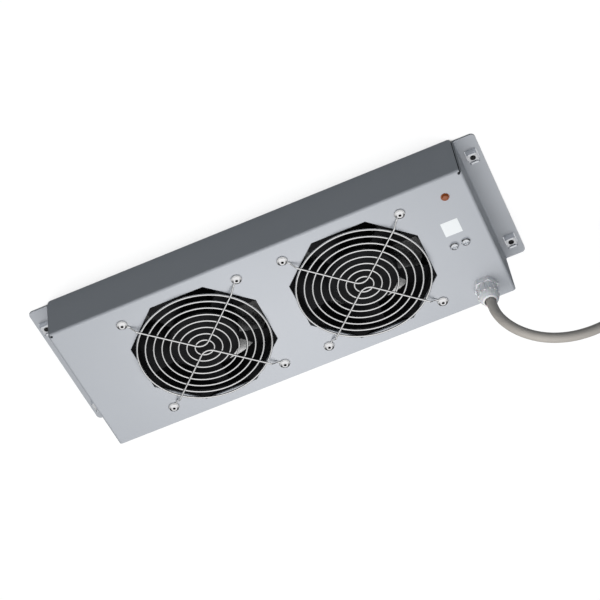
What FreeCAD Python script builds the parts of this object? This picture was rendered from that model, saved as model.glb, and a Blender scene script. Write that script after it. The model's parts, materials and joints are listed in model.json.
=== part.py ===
import FreeCAD, Part
import math
import os

# Rack fan tray, one unit high, for cooling a server cabinet.
# A folded steel tray carries two 120 mm mains fans behind wire guards. Its ears hold cage nuts,
# and a gland at one end lets the mains lead in to a terminal block under the plate.
#
# Frame: X along the tray, Y from the front flange to the open rear, Z up out of the plate.
# The origin is the middle of the tray at the underside of the ears. Units are millimetres.

V = FreeCAD.Vector
os.makedirs("parts", exist_ok=True)

# ---------------------------------------------------------------- driving sizes
# folded tray
SHEET = 1.5                 # steel sheet
BEND_INSIDE = 1.2           # inside radius of every fold
END_BAY = 53.4              # side wall's face to the nearer fan's frame
FAN_TO_EDGE = 10.9          # front flange's face, and rear edge, to the fans' frames
TRAY_HEIGHT = 44.5          # one rack unit
EAR_WIDTH = 18.4            # side wall face to ear edge
EAR_CORNER_R = 4.0
FLANGE_SHORT = 1.9          # the front flange stops this far inside the side wall's face
FLANGE_CORNER_R = 3.0
RELIEF_R = 1.3              # round relief where two folds meet

# fans
FAN_SIZE = 119.5
FAN_GAP = 26.9              # between the two frames
FAN_DEPTH = 38.0
FAN_HOLE_INSET = 7.25       # side of the frame to a hole's axis
FAN_HOLE_D = 4.3
FAN_CORNER_R = 7.0
FAN_FLANGE = 4.5            # thickness of each end flange
FAN_WALL = 1.75             # venturi wall
INLET_FLARE = 4.5           # how far the inlet opens out in the corners
INLET_FLARE_DEPTH = 6.0
INLET_RIM = 1.5             # metal left at the flats
STRUT_WIDTH = 5.0
STRUT_HEIGHT = 4.0
CHANNEL_WIDTH = 9.0         # the strut that carries the leads
GROOVE_WIDTH = 4.4
GROOVE_DEPTH = 2.4
BASE_THICK = 3.0

# motor
SHAFT_D = 4.0
SHAFT_CLEARANCE = 0.03      # radial, in the bearings
BEARING_D = 13.0
BEARING_WIDTH = 5.0
TUBE_WALL = 1.5
TUBE_STEP = 1.0             # shoulder between the bearing seats
TUBE_LENGTH = 27.0
LOWER_BEARING_UP = 3.2      # above the fan's outlet face
STATOR_D = 46.8
STATOR_STACK = 16.0
STATOR_UP = 10.0            # above the fan's outlet face
POLES = 4
POLE_WIDTH = 11.0
POLE_SHOE = 3.2
POLE_SLOT = 3.0
CORE_YOKE = 3.0
COIL_THICK = 3.0
COIL_GAP = 0.3
AIR_GAP = 0.5
ROTOR_RING_WALL = 3.6
ROTOR_RING_HEIGHT = 19.0
CUP_WALL = 1.0
CUP_TOP = 1.5
CUP_DROP = 4.0              # impeller hub top below the fan's inlet face at the cup
CUP_HEIGHT = 29.0
HUB_WALL = 2.5
HUB_TOP = 2.0
HUB_EDGE = 1.5              # bevel round the hub's face
BLADES = 5
BLADE_TIP_GAP = 1.5
BLADE_TOP_DOWN = 5.5        # below the inlet face
BLADE_BOTTOM_UP = 7.5       # above the outlet face
BLADE_ROOT_SWEEP = 21.0     # tangential run of the blade at the hub
BLADE_TIP_SWEEP = 37.0
BLADE_TIP_CUT = 3.5         # the tip is shorter than the root at each edge
BLADE_ROOT_THICK = 2.2
BLADE_TIP_THICK = 1.5
BLADE_CAMBER = 3.0
CLIP_THICK = 0.6
WASHER_THICK = 0.5

# wire guards
WIRE = 1.7
RINGS = 8
RING_FIRST_R = 8.2
RING_INSIDE = 0.59          # outer ring's centre line inside the air opening
GUARD_RISE = 4.0            # ring plane above the plate
WELD_SINK = 0.3             # the arm wires are pressed into the rings
ARM_BEND_R = 8.0
JOG_AFTER_RING = 4.1        # outer ring to where an arm starts down to the plate
JOG_FOOT = 3.1              # the arm's flat end, from the jog to the eyelet
JOG_R = 2.5
EYELET_R = 3.95             # centre line
RING_SIDES = 4              # flats of the ring wire's section
ARM_SIDES = 6               # flats of the arm wire's section

# blind rivets
RIVET_D = 4.0
RIVET_HEAD_D = 8.0
RIVET_HEAD_H = 1.2
RIVET_BORE_D = 2.2
RIVET_BULB_D = 6.2
RIVET_BULB_H = 2.4

# cage nuts
CAGE_HOLE = 9.5
CAGE_OUT = 10.05            # from the side wall's face to the nut's axis
CAGE_PITCH = 100.0
CAGE_SHEET = 0.7
CAGE_X = 10.5
CAGE_Y = 10.3
CAGE_HEIGHT = 6.6
CAGE_FLAP_WIDTH = 9.0
CAGE_TAB = 1.3
CAGE_LEG_WIDTH = 6.6
CAGE_MOUTH_D = 7.2
NUT_CLEARANCE = 0.1
NUT_THICK = 4.6
NUT_BORE_D = 5.0            # M6 tapping size

# cable gland, M16
GLAND_FROM_WALL = 21.85     # side wall's face to the gland's axis
GLAND_FROM_REAR = 16.65
GLAND_FLATS = 19.0
GLAND_COLLAR = 5.0
GLAND_THREAD_D = 15.8
GLAND_HOLE_CLEARANCE = 0.2
GLAND_BORE_D = 9.4
GLAND_THREAD_DOWN = 8.5
GLAND_NECK_D = 14.0
GLAND_NECK_H = 7.0
GLAND_CAP_H = 10.0          # ribbed part of the cap nut
GLAND_DOME_H = 6.5
GLAND_MOUTH_D = 10.2
GLAND_TURN = 35.0           # of the collar's flats, degrees
GLAND_RIBS = 12
GLAND_RIB = 0.5
LOCK_NUT_FLATS = 22.0
LOCK_NUT_H = 5.0
SEAL_WALL = 1.6

# indicator lamp
LAMP_FROM_WALL = 21.05
LAMP_FROM_FRONT = 19.65
LAMP_D = 6.0
LAMP_RISE = 2.6
LAMP_DOWN = 19.0
LAMP_FLANGE_D = 7.4
LAMP_FLANGE_H = 0.6
RETAINER_D = 12.0
RETAINER_THICK = 0.6

# label
LABEL = 15.0
LABEL_THICK = 0.1
LABEL_FROM_WALL = 27.05
LABEL_FROM_FRONT = 52.25

# terminal block
BLOCK_FROM_WALL = 26.25
BLOCK_Y = 0.45
POLE_PITCH = 10.2
BLOCK_END = 0.4             # spare length over three poles
BLOCK_WIDTH = 17.0
BLOCK_HEIGHT = 14.0
INSERT_WIDTH = 5.0
INSERT_HEIGHT = 6.0
INSERT_LENGTH = 13.0
INSERT_BORE_D = 3.8
CLAMP_SCREW_D = 2.6
CLAMP_HEAD_D = 3.8
CLAMP_SCREW_SPREAD = 6.0
M4_D = 4.0
M4_HOLE_D = 4.3
M4_HEAD_D = 8.0
M4_HEAD_H = 2.8
M4_LENGTH = 21.5
M4_NUT_FLATS = 7.0
M4_NUT_H = 3.2
RECESS_WIDTH = 1.1
RECESS_LENGTH = 4.4
RECESS_DEPTH = 1.6
LUG_D = 9.0
LUG_THICK = 0.8
LUG_TONGUE = 4.0
LUG_BARREL_D = 3.6
LUG_BARREL_LENGTH = 7.0
LUG_REACH = 12.0            # screw axis to the start of the barrel

# leads
CORE_D = 2.5                # a core of the mains lead
LEAD_D = 1.5                # a fan or lamp lead
LEAD_SIDES = 6              # flats of a lead's or core's section
LEAD_BEND = 4.0             # largest bend of a dressed lead, in diameters
CORE_SPREAD = 1.7           # of the three cores about the lead's axis
LEAD_GAP = 0.1

# mains lead
CABLE_D = 8.6
CABLE_HEADING = 155.0       # plan direction of the arch, degrees from +X towards +Y
TIE_THICK = 0.5
TIE_WIDTH = 9.0
TIE_CLEARANCE = 0.5
TIE_ANGLE = 320.0
COIL_X = -345.0
COIL_Y = 59.0
COIL_COLUMNS = 3
COIL_ROWS = 2
COIL_MIDDLE_R = 44.7
COIL_EXIT_ANGLE = 200.0

# earthed mains plug
PLUG_D = 36.5
PLUG_LENGTH = 37.0
PLUG_NECK_D = 12.0
PLUG_RELIEF = 26.0
PLUG_PIN_D = 4.8
PLUG_PIN_LENGTH = 19.0
PLUG_PIN_PITCH = 19.0
PLUG_RIM = 13.0             # full-width rim behind the face
PLUG_GRIP_DEPTH = 4.0
PLUG_CLIP_WIDTH = 6.5
PLUG_CLIP_THICK = 1.0
PLUG_CLIP_LENGTH = 14.0
PLUG_SOCKET_D = 5.0
PLUG_SOCKET_DEPTH = 16.0
TAIL_LENGTH = 40.0

# ---------------------------------------------------------------- places that follow from the sizes
BEND_OUTSIDE = BEND_INSIDE + SHEET
FAN_PITCH = FAN_SIZE + FAN_GAP
FAN_BORE = FAN_SIZE - 2 * FAN_WALL
OCTAGON_FLATS = FAN_BORE    # air opening in the plate, across flats
TRAY_LENGTH = FAN_PITCH + FAN_SIZE + 2 * END_BAY
TRAY_DEPTH = FAN_SIZE + 2 * FAN_TO_EDGE
WALL_X = TRAY_LENGTH / 2
EAR_X = WALL_X + EAR_WIDTH
FRONT_Y = -TRAY_DEPTH / 2
REAR_Y = TRAY_DEPTH / 2
WALL_FRONT_Y = FRONT_Y + BEND_OUTSIDE
PLATE_TOP = TRAY_HEIGHT
PLATE_UNDER = TRAY_HEIGHT - SHEET
FLANGE_X = WALL_X - FLANGE_SHORT
FAN_X = FAN_PITCH / 2
FAN_TOP = PLATE_UNDER
FAN_BOTTOM = FAN_TOP - FAN_DEPTH
HOLE_AT = FAN_SIZE / 2 - FAN_HOLE_INSET
CAGE_AT_X = WALL_X + CAGE_OUT
CAGE_AT_Y = (WALL_FRONT_Y + REAR_Y) / 2
GLAND_X = GLAND_FROM_WALL - WALL_X
GLAND_Y = REAR_Y - GLAND_FROM_REAR
LAMP_X = LAMP_FROM_WALL - WALL_X
LAMP_Y = FRONT_Y + LAMP_FROM_FRONT
LABEL_X = LABEL_FROM_WALL - WALL_X
LABEL_Y = FRONT_Y + LABEL_FROM_FRONT
BLOCK_X = BLOCK_FROM_WALL - WALL_X
BLOCK_BOTTOM = PLATE_UNDER - BLOCK_HEIGHT
POLE_Z = PLATE_UNDER - BLOCK_HEIGHT / 2
PEN = 10.0                  # how far a cutting tool runs past a face


# ---------------------------------------------------------------- shared helpers
def xy(u, v):
    return V(u, v, 0)


def xz(u, v):
    return V(u, 0, v)


def yz(u, v):
    return V(0, u, v)


def outline(corners, plane=xy):
    """A closed outline; each corner is (u, v) or (u, v, radius)."""
    count = len(corners)
    starts, ends, mids = [], [], []
    for i, corner in enumerate(corners):
        here = V(corner[0], corner[1], 0)
        radius = corner[2] if len(corner) > 2 else 0
        before = corners[i - 1]
        after = corners[(i + 1) % count]
        back = (V(before[0], before[1], 0) - here).normalize()
        on = (V(after[0], after[1], 0) - here).normalize()
        if radius <= 0:
            starts.append(here)
            ends.append(here)
            mids.append(None)
            continue
        half = back.getAngle(on) / 2
        reach = radius / math.tan(half)
        middle = (back + on).normalize()
        centre = here + middle * (radius / math.sin(half))
        starts.append(here + back * reach)
        ends.append(here + on * reach)
        mids.append(centre - middle * radius)
    edges = []
    for i in range(count):
        if mids[i] is not None:
            arc = [plane(p.x, p.y) for p in (starts[i], mids[i], ends[i])]
            edges.append(Part.Arc(*arc).toShape())
        a, b = ends[i], starts[(i + 1) % count]
        if (b - a).Length > 1e-6:
            edges.append(Part.LineSegment(plane(a.x, a.y), plane(b.x, b.y)).toShape())
    return Part.Face(Part.Wire(edges))


def slab(corners, z_low, z_high):
    face = outline(corners)
    face.translate(V(0, 0, z_low))
    return face.extrude(V(0, 0, z_high - z_low))


def rectangle(width, depth, radius=0.0, x=0.0, y=0.0):
    a, b = width / 2, depth / 2
    return [(x + sx * a, y + sy * b, radius) for sx, sy in ((-1, -1), (1, -1), (1, 1), (-1, 1))]


def polygon(sides, flats, turn=0.0, x=0.0, y=0.0):
    """Corners of a regular polygon; one flat faces the direction turn."""
    corner_r = flats / 2 / math.cos(math.pi / sides)
    angles = [math.radians(turn) + math.pi / sides * (2 * i + 1) for i in range(sides)]
    return [(x + corner_r * math.cos(a), y + corner_r * math.sin(a)) for a in angles]


def post(diameter, z_low, z_high, x=0.0, y=0.0):
    return Part.makeCylinder(diameter / 2, z_high - z_low, V(x, y, z_low))


def pipe(outer, inner, z_low, z_high, x=0.0, y=0.0):
    return post(outer, z_low, z_high, x, y).cut(post(inner, z_low - PEN, z_high + PEN, x, y))


def turned(profile):
    """A solid turned about Z from (radius, z) corners."""
    return outline(profile, xz).revolve(V(0, 0, 0), V(0, 0, 1), 360)


def block(x, y, z):
    """A box from three (low, high) pairs."""
    return Part.makeBox(x[1] - x[0], y[1] - y[0], z[1] - z[0], V(x[0], y[0], z[0]))


def joined(shapes):
    first = shapes[0]
    return first.fuse(shapes[1:]).removeSplitter() if len(shapes) > 1 else first


def at(shape, x=0.0, y=0.0, z=0.0):
    moved = shape.copy()
    moved.translate(V(x, y, z))
    return moved


def spun(shape, degrees, centre=V(0, 0, 0), axis=V(0, 0, 1)):
    moved = shape.copy()
    moved.rotate(centre, axis, degrees)
    return moved


def save(name, *solids):
    shape = solids[0] if len(solids) == 1 else Part.makeCompound(list(solids))
    for solid in shape.Solids:
        if not solid.isValid():
            print("not valid:", name)
    shape.exportStep("parts/" + name + ".step")


def route(points, radii=None, share=0.45, most=1000.0):
    """A path of straight runs joined by tangent arcs, and the arcs' radii.

    Without radii, each arc is as large as its two runs allow, up to most.
    """
    path, used = [], []
    last = points[0]
    for i in range(1, len(points) - 1):
        here = points[i]
        back, on = points[i - 1] - here, points[i + 1] - here
        half = back.getAngle(on) / 2
        if radii is None:
            radius = min(share * min(back.Length, on.Length) * math.tan(half), most)
            reach = radius / math.tan(half)
        else:
            radius = radii[i - 1]
            reach = radius / math.tan(half)
        back.normalize()
        on.normalize()
        middle = (back + on).normalize()
        start, end = here + back * reach, here + on * reach
        centre = here + middle * (radius / math.sin(half))
        path.append(Part.LineSegment(last, start).toShape())
        path.append(Part.Arc(start, centre - middle * radius, end).toShape())
        used.append(radius)
        last = end
    path.append(Part.LineSegment(last, points[-1]).toShape())
    return Part.Wire(path), used


def tube(points, diameter, radii=None, name=None, sides=0, most=1000.0):
    """A round bar along a route, or with sides a bar of that many flats inside the round."""
    path, used = route(points, radii, most=most)
    start, ahead = points[0], (points[1] - points[0]).normalize()
    if sides:
        across = ahead.cross(V(0, 0, 1))
        across = across.normalize() if across.Length > 0.01 else V(1, 0, 0)
        up = across.cross(ahead)
        flats = diameter * math.cos(math.pi / sides)
        corners = [start + across * u + up * v for u, v in polygon(sides, flats, 90)]
        section = Part.makePolygon(corners + corners[:1])
    else:
        section = Part.Wire(Part.makeCircle(diameter / 2, start, ahead))
    solid = path.makePipeShell([section], True, False)
    if name:
        expected = path.Length * math.pi * diameter ** 2 / 4
        print(name, "length", round(path.Length, 1), "volume ratio", round(solid.Volume / expected, 4))
        print("  radii", [round(r, 1) for r in used])
    return solid


# ---------------------------------------------------------------- folded tray
def fan_centres():
    return [(-FAN_X, 0.0), (FAN_X, 0.0)]


def fan_holes(x, y):
    return [(x + sx * HOLE_AT, y + sy * HOLE_AT) for sx, sy in ((-1, -1), (1, -1), (1, 1), (-1, 1))]


def cage_centres():
    return [(sx * CAGE_AT_X, CAGE_AT_Y + sy * CAGE_PITCH / 2) for sx in (-1, 1) for sy in (-1, 1)]


def block_screw_centres():
    return [(BLOCK_X + side * POLE_PITCH / 2, BLOCK_Y) for side in (-1, 1)]


def tray_shell():
    # plate, side walls and ears are one folded section
    inner_x = WALL_X - SHEET
    section = [
        (-EAR_X, 0), (-inner_x, 0, BEND_OUTSIDE), (-inner_x, PLATE_UNDER, BEND_INSIDE),
        (inner_x, PLATE_UNDER, BEND_INSIDE), (inner_x, 0, BEND_OUTSIDE), (EAR_X, 0),
        (EAR_X, SHEET), (WALL_X, SHEET, BEND_INSIDE), (WALL_X, PLATE_TOP, BEND_OUTSIDE),
        (-WALL_X, PLATE_TOP, BEND_OUTSIDE), (-WALL_X, SHEET, BEND_INSIDE), (-EAR_X, SHEET),
    ]
    body = outline(section, xz)
    body.translate(V(0, WALL_FRONT_Y, 0))
    body = body.extrude(V(0, REAR_Y - WALL_FRONT_Y, 0))
    plan = rectangle(2 * EAR_X, REAR_Y - WALL_FRONT_Y, EAR_CORNER_R, 0, (REAR_Y + WALL_FRONT_Y) / 2)
    body = body.common(slab(plan, -PEN, PLATE_TOP + PEN))

    # the front flange folds down from the plate
    lap = SHEET / 3
    fold = [
        (FRONT_Y, 0), (FRONT_Y + SHEET, 0), (FRONT_Y + SHEET, PLATE_UNDER, BEND_INSIDE),
        (WALL_FRONT_Y + lap, PLATE_UNDER), (WALL_FRONT_Y + lap, PLATE_TOP),
        (FRONT_Y, PLATE_TOP, BEND_OUTSIDE),
    ]
    flange = outline(fold, yz)
    flange.translate(V(-FLANGE_X, 0, 0))
    flange = flange.extrude(V(2 * FLANGE_X, 0, 0))
    face = outline([(-FLANGE_X, 0, FLANGE_CORNER_R), (FLANGE_X, 0, FLANGE_CORNER_R),
                    (FLANGE_X, PLATE_TOP + PEN), (-FLANGE_X, PLATE_TOP + PEN)], xz)
    face.translate(V(0, FRONT_Y - PEN, 0))
    flange = flange.common(face.extrude(V(0, TRAY_DEPTH, 0)))
    body = joined([body, flange])

    low, high = PLATE_UNDER - PEN, PLATE_TOP + PEN
    cuts = []
    for x, y in fan_centres():
        cuts.append(slab(polygon(8, OCTAGON_FLATS, 0, x, y), low, high))
        hole_d = RIVET_D  # a set rivet has swollen to fill its hole
        cuts += [post(hole_d, low, high, *place) for place in fan_holes(x, y)]
    for side in (-1, 1):
        cuts.append(post(2 * RELIEF_R, low, high, side * (WALL_X - BEND_OUTSIDE), WALL_FRONT_Y))
    for place in cage_centres():
        cuts.append(slab(rectangle(CAGE_HOLE, CAGE_HOLE, 0, *place), -PEN, PEN))
    cuts.append(post(GLAND_THREAD_D + 2 * GLAND_HOLE_CLEARANCE, low, high, GLAND_X, GLAND_Y))
    cuts.append(post(LAMP_D, low, high, LAMP_X, LAMP_Y))
    cuts += [post(M4_HOLE_D, low, high, *place) for place in block_screw_centres()]
    return body.cut(cuts)


def label():
    return slab(rectangle(LABEL, LABEL, 0, LABEL_X, LABEL_Y), PLATE_TOP, PLATE_TOP + LABEL_THICK)


# ---------------------------------------------------------------- wire guards
def guard():
    """Eight rings and two bent cross wires, welded, with an eyelet at each corner."""
    last_r = OCTAGON_FLATS / 2 - RING_INSIDE
    step = (last_r - RING_FIRST_R) / (RINGS - 1)
    ring_z = PLATE_TOP + GUARD_RISE
    arm_z = ring_z + WIRE - WELD_SINK
    foot_z = PLATE_TOP + WIRE / 2
    parts = []
    for i in range(RINGS):
        parts.append(turned(polygon(RING_SIDES, WIRE, 90, RING_FIRST_R + step * i, ring_z)))
    eye_from_axis = HOLE_AT * math.sqrt(2)
    foot = eye_from_axis - EYELET_R
    jog_start = last_r + JOG_AFTER_RING
    jog_end = foot - JOG_FOOT
    for turn in (0, 180):
        left, right = math.radians(turn - 135), math.radians(turn - 45)
        arm = []
        for angle, stations in ((left, ((foot, foot_z), (jog_end, foot_z), (jog_start, arm_z))),
                                (None, ((0, arm_z),)),
                                (right, ((jog_start, arm_z), (jog_end, foot_z), (foot, foot_z)))):
            way = (0, 0) if angle is None else (math.cos(angle), math.sin(angle))
            arm += [V(r * way[0], r * way[1], z) for r, z in stations]
        corner_d = WIRE / math.cos(math.pi / ARM_SIDES)
        parts.append(tube(arm, corner_d, [JOG_R, JOG_R, ARM_BEND_R, JOG_R, JOG_R], sides=ARM_SIDES))
    eyelet = turned(rectangle(WIRE, WIRE, 0, EYELET_R, foot_z))
    parts += [at(eyelet, x, y) for x, y in fan_holes(0, 0)]
    return joined(parts)


def rivets(x, y):
    """Four set blind rivets: domed head, hollow shank, and the bulb under the fan's flange."""
    head_z = PLATE_TOP + WIRE
    grip_end = FAN_TOP - FAN_FLANGE
    bore = RIVET_BORE_D / 2
    profile = [
        (0, grip_end - RIVET_BULB_H), (RIVET_BULB_D / 2 - 0.8, grip_end - RIVET_BULB_H),
        (RIVET_BULB_D / 2, grip_end), (RIVET_D / 2, grip_end), (RIVET_D / 2, head_z),
        (RIVET_HEAD_D / 2, head_z), (RIVET_HEAD_D / 2, head_z + RIVET_HEAD_H / 3),
        (RIVET_HEAD_D / 2 - 1.5, head_z + RIVET_HEAD_H), (bore, head_z + RIVET_HEAD_H),
        (bore, grip_end), (0, grip_end),
    ]
    one = turned(profile)
    return [at(one, *place) for place in fan_holes(x, y)]


# ---------------------------------------------------------------- fan frame and motor
TUBE_D = BEARING_D + 2 * TUBE_WALL
TUBE_BOTTOM = FAN_BOTTOM
TUBE_TOP = TUBE_BOTTOM + TUBE_LENGTH
LOWER_BEARING_Z = FAN_BOTTOM + LOWER_BEARING_UP
UPPER_BEARING_TOP = TUBE_TOP - 0.5
STATOR_Z = FAN_BOTTOM + STATOR_UP
ROTOR_INNER_R = STATOR_D / 2 + AIR_GAP
CUP_INNER_R = ROTOR_INNER_R + ROTOR_RING_WALL
CUP_R = CUP_INNER_R + CUP_WALL
CUP_TOP_Z = FAN_TOP - CUP_DROP
HUB_R = CUP_R + HUB_WALL
BLADE_R = FAN_BORE / 2 - BLADE_TIP_GAP
GROOVE_Z = FAN_BOTTOM + GROOVE_DEPTH / 2
GROOVE_TOP = FAN_BOTTOM + GROOVE_DEPTH
LEAD_HOLE_X = -(TUBE_D / 2 + 12.0)


def fan_frame():
    """Die-cast frame: two flanges, the venturi, four struts and the motor base."""
    square = rectangle(FAN_SIZE, FAN_SIZE, FAN_CORNER_R)
    top = slab(square, FAN_TOP - FAN_FLANGE, FAN_TOP)
    bottom = slab(square, FAN_BOTTOM, FAN_BOTTOM + FAN_FLANGE)
    venturi = post(FAN_BORE + 2 * FAN_WALL, FAN_BOTTOM, FAN_TOP)
    body = joined([top, bottom, venturi]).cut(post(FAN_BORE, FAN_BOTTOM - PEN, FAN_TOP + PEN))
    r = FAN_BORE / 2
    flare = turned([(0, FAN_TOP - INLET_FLARE_DEPTH), (r, FAN_TOP - INLET_FLARE_DEPTH),
                    (r + INLET_FLARE, FAN_TOP), (r + INLET_FLARE, FAN_TOP + 1), (0, FAN_TOP + 1)])
    window = FAN_SIZE - 2 * INLET_RIM
    flare = flare.common(slab(rectangle(window, window), FAN_BOTTOM, FAN_TOP + PEN))
    body = body.cut(flare)

    base_top = FAN_BOTTOM + BASE_THICK
    base = post(2 * HUB_R, FAN_BOTTOM, base_top)
    reach = r + FAN_WALL / 2
    struts = [block((0, reach), (-STRUT_WIDTH / 2, STRUT_WIDTH / 2), (FAN_BOTTOM, FAN_BOTTOM + STRUT_HEIGHT))]
    struts += [spun(struts[0], 90), spun(struts[0], 270)]
    channel = block((-reach, 0), (-CHANNEL_WIDTH / 2, CHANNEL_WIDTH / 2), (FAN_BOTTOM, FAN_BOTTOM + STRUT_HEIGHT))
    boss = post(TUBE_D + 5, FAN_BOTTOM, base_top + 2)
    inside = post(FAN_BORE + FAN_WALL, FAN_BOTTOM, FAN_TOP)
    spider = joined([base, boss, channel.common(inside)] + [s.common(inside) for s in struts])
    body = joined([body, spider])

    groove = block((-FAN_SIZE / 2 - PEN, LEAD_HOLE_X), (-GROOVE_WIDTH / 2, GROOVE_WIDTH / 2),
                   (FAN_BOTTOM - PEN, GROOVE_TOP))
    lead_hole = post(GROOVE_WIDTH, FAN_BOTTOM - PEN, FAN_TOP, LEAD_HOLE_X - 3 + GROOVE_WIDTH / 2)
    cuts = [groove, lead_hole, post(TUBE_D, FAN_BOTTOM - PEN, FAN_TOP)]
    cuts += [post(FAN_HOLE_D, FAN_BOTTOM - PEN, FAN_TOP + PEN, *place) for place in fan_holes(0, 0)]
    return body.cut(cuts)


def bearing_tube():
    seat = BEARING_D / 2
    lower_top = LOWER_BEARING_Z + BEARING_WIDTH
    upper_bottom = UPPER_BEARING_TOP - BEARING_WIDTH
    profile = [
        (seat, TUBE_BOTTOM), (TUBE_D / 2, TUBE_BOTTOM), (TUBE_D / 2, TUBE_TOP), (seat, TUBE_TOP),
        (seat, upper_bottom), (seat - TUBE_STEP, upper_bottom), (seat - TUBE_STEP, lower_top),
        (seat, lower_top),
    ]
    return turned(profile)


def bearings():
    bore = SHAFT_D + 2 * SHAFT_CLEARANCE
    tops = (LOWER_BEARING_Z + BEARING_WIDTH, UPPER_BEARING_TOP)
    return [pipe(BEARING_D, bore, top - BEARING_WIDTH, top) for top in tops]


def stator_core():
    """A stack of laminations: yoke, four poles and their shoes."""
    z_low, z_high = STATOR_Z, STATOR_Z + STATOR_STACK
    rim = STATOR_D / 2
    shoes = pipe(STATOR_D, STATOR_D - 2 * POLE_SHOE, z_low, z_high)
    slot = block((0, STATOR_D), (-POLE_SLOT / 2, POLE_SLOT / 2), (z_low - 1, z_high + 1))
    shoes = shoes.cut([spun(slot, 45 + 360 / POLES * i) for i in range(POLES)])
    yoke = post(TUBE_D + 2 * CORE_YOKE, z_low, z_high)
    pole = block((0, rim - POLE_SHOE / 2), (-POLE_WIDTH / 2, POLE_WIDTH / 2), (z_low, z_high))
    poles = [spun(pole, 360 / POLES * i) for i in range(POLES)]
    return joined([yoke, shoes] + poles).cut(post(TUBE_D, z_low - 1, z_high + 1))


def windings():
    """One coil round each pole."""
    inner = TUBE_D / 2 + CORE_YOKE + COIL_GAP
    z_low, z_high = STATOR_Z - COIL_THICK, STATOR_Z + STATOR_STACK + COIL_THICK
    half = POLE_WIDTH / 2
    widest = inner * math.tan(math.pi / POLES) - COIL_GAP
    thick = min(COIL_THICK, widest - half)
    shoe_r = STATOR_D / 2 - POLE_SHOE - COIL_GAP
    outer = math.sqrt(shoe_r ** 2 - (half + thick) ** 2)
    face = outline(rectangle(POLE_WIDTH + 2 * thick, z_high - z_low, 2.0, 0, (z_low + z_high) / 2), yz)
    coil = face.extrude(V(outer - inner, 0, 0))
    hole = block((-1, outer), (-half, half), (STATOR_Z, STATOR_Z + STATOR_STACK))
    coil = coil.cut(hole)
    return [spun(at(coil, inner), 360 / POLES * i) for i in range(POLES)]


def rotor_ring():
    """Laminated ring with the cast cage's end rings."""
    middle = STATOR_Z + STATOR_STACK / 2
    z_low, z_high = middle - ROTOR_RING_HEIGHT / 2, middle + ROTOR_RING_HEIGHT / 2
    return pipe(2 * CUP_INNER_R, 2 * ROTOR_INNER_R, z_low, z_high)


def rotor_cup():
    boss_r, bore = SHAFT_D / 2 + 2.5, SHAFT_D / 2
    roof = CUP_TOP_Z - CUP_TOP
    profile = [
        (bore, TUBE_TOP + WASHER_THICK - 0.5), (boss_r - 1.2, TUBE_TOP + WASHER_THICK - 0.5), (boss_r, roof),
        (CUP_INNER_R, roof), (CUP_INNER_R, CUP_TOP_Z - CUP_HEIGHT), (CUP_R, CUP_TOP_Z - CUP_HEIGHT),
        (CUP_R, CUP_TOP_Z), (bore, CUP_TOP_Z),
    ]
    return turned(profile)


CLIP_Z = LOWER_BEARING_Z - CLIP_THICK


def shaft():
    """Motor shaft with the clip's groove at its lower end."""
    r = SHAFT_D / 2
    neck = r - 0.4
    low = FAN_BOTTOM + 1.0
    profile = [
        (0, low), (r, low), (r, CLIP_Z), (neck, CLIP_Z), (neck, CLIP_Z + CLIP_THICK),
        (r, CLIP_Z + CLIP_THICK), (r, CUP_TOP_Z), (0, CUP_TOP_Z),
    ]
    return turned(profile)


def retaining_clip():
    """An E-clip in the shaft's groove, under the lower bearing."""
    neck = SHAFT_D - 0.8
    drop = 0.1
    ring = pipe(SHAFT_D + 3.4, neck, CLIP_Z, CLIP_Z + CLIP_THICK - drop)
    mouth = block((0, SHAFT_D + PEN), (-neck * 0.42, neck * 0.42), (CLIP_Z - 1, CLIP_Z + CLIP_THICK + 1))
    return ring.cut(mouth)


def preload_washer():
    """Wave washer between the upper bearing and the rotor's boss."""
    low = UPPER_BEARING_TOP
    return pipe(SHAFT_D + 3.0, SHAFT_D + 0.4, low, low + WASHER_THICK - 0.05)


def blade_section(radius, sweep, low, high, thick):
    """A cambered blade section on the plane at this radius."""
    a, b = V(radius, -sweep / 2, low), V(radius, sweep / 2, high)
    chord = b - a
    across = V(0, -chord.z, chord.y).normalize()
    middle = (a + b) / 2 + across * BLADE_CAMBER
    upper = middle + across * thick / 2
    lower = middle - across * thick / 2
    nose = across * thick / 4
    edges = [
        Part.Arc(a + nose, upper, b + nose).toShape(),
        Part.LineSegment(b + nose, b - nose).toShape(),
        Part.Arc(b - nose, lower, a - nose).toShape(),
        Part.LineSegment(a - nose, a + nose).toShape(),
    ]
    return Part.Wire(edges)


def impeller():
    """Hub cup with swept, twisted blades."""
    hub_low, hub_high = CUP_TOP_Z - CUP_HEIGHT, CUP_TOP_Z + HUB_TOP
    hub = turned([(CUP_R, hub_low), (HUB_R, hub_low), (HUB_R, hub_high - HUB_EDGE), (HUB_R - HUB_EDGE, hub_high),
                  (0, hub_high), (0, CUP_TOP_Z), (CUP_R, CUP_TOP_Z)])
    low, high = FAN_BOTTOM + BLADE_BOTTOM_UP, FAN_TOP - BLADE_TOP_DOWN
    root_r = CUP_R - HUB_WALL
    tip_r = BLADE_R + 1.0
    sections = []
    for share in (0.0, 0.5, 1.0):
        radius = root_r + (tip_r - root_r) * share
        sweep = BLADE_ROOT_SWEEP + (BLADE_TIP_SWEEP - BLADE_ROOT_SWEEP) * share
        thick = BLADE_ROOT_THICK + (BLADE_TIP_THICK - BLADE_ROOT_THICK) * share
        cut = BLADE_TIP_CUT * share
        sections.append(blade_section(radius, sweep, low + cut, high - cut, thick))
    blade = Part.makeLoft(sections, True, False)
    ring = pipe(2 * BLADE_R, 2 * CUP_R + HUB_WALL, FAN_BOTTOM, FAN_TOP)
    blade = blade.common(ring)
    blades = [spun(blade, 360 / BLADES * i) for i in range(BLADES)]
    return joined([hub] + blades)


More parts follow.
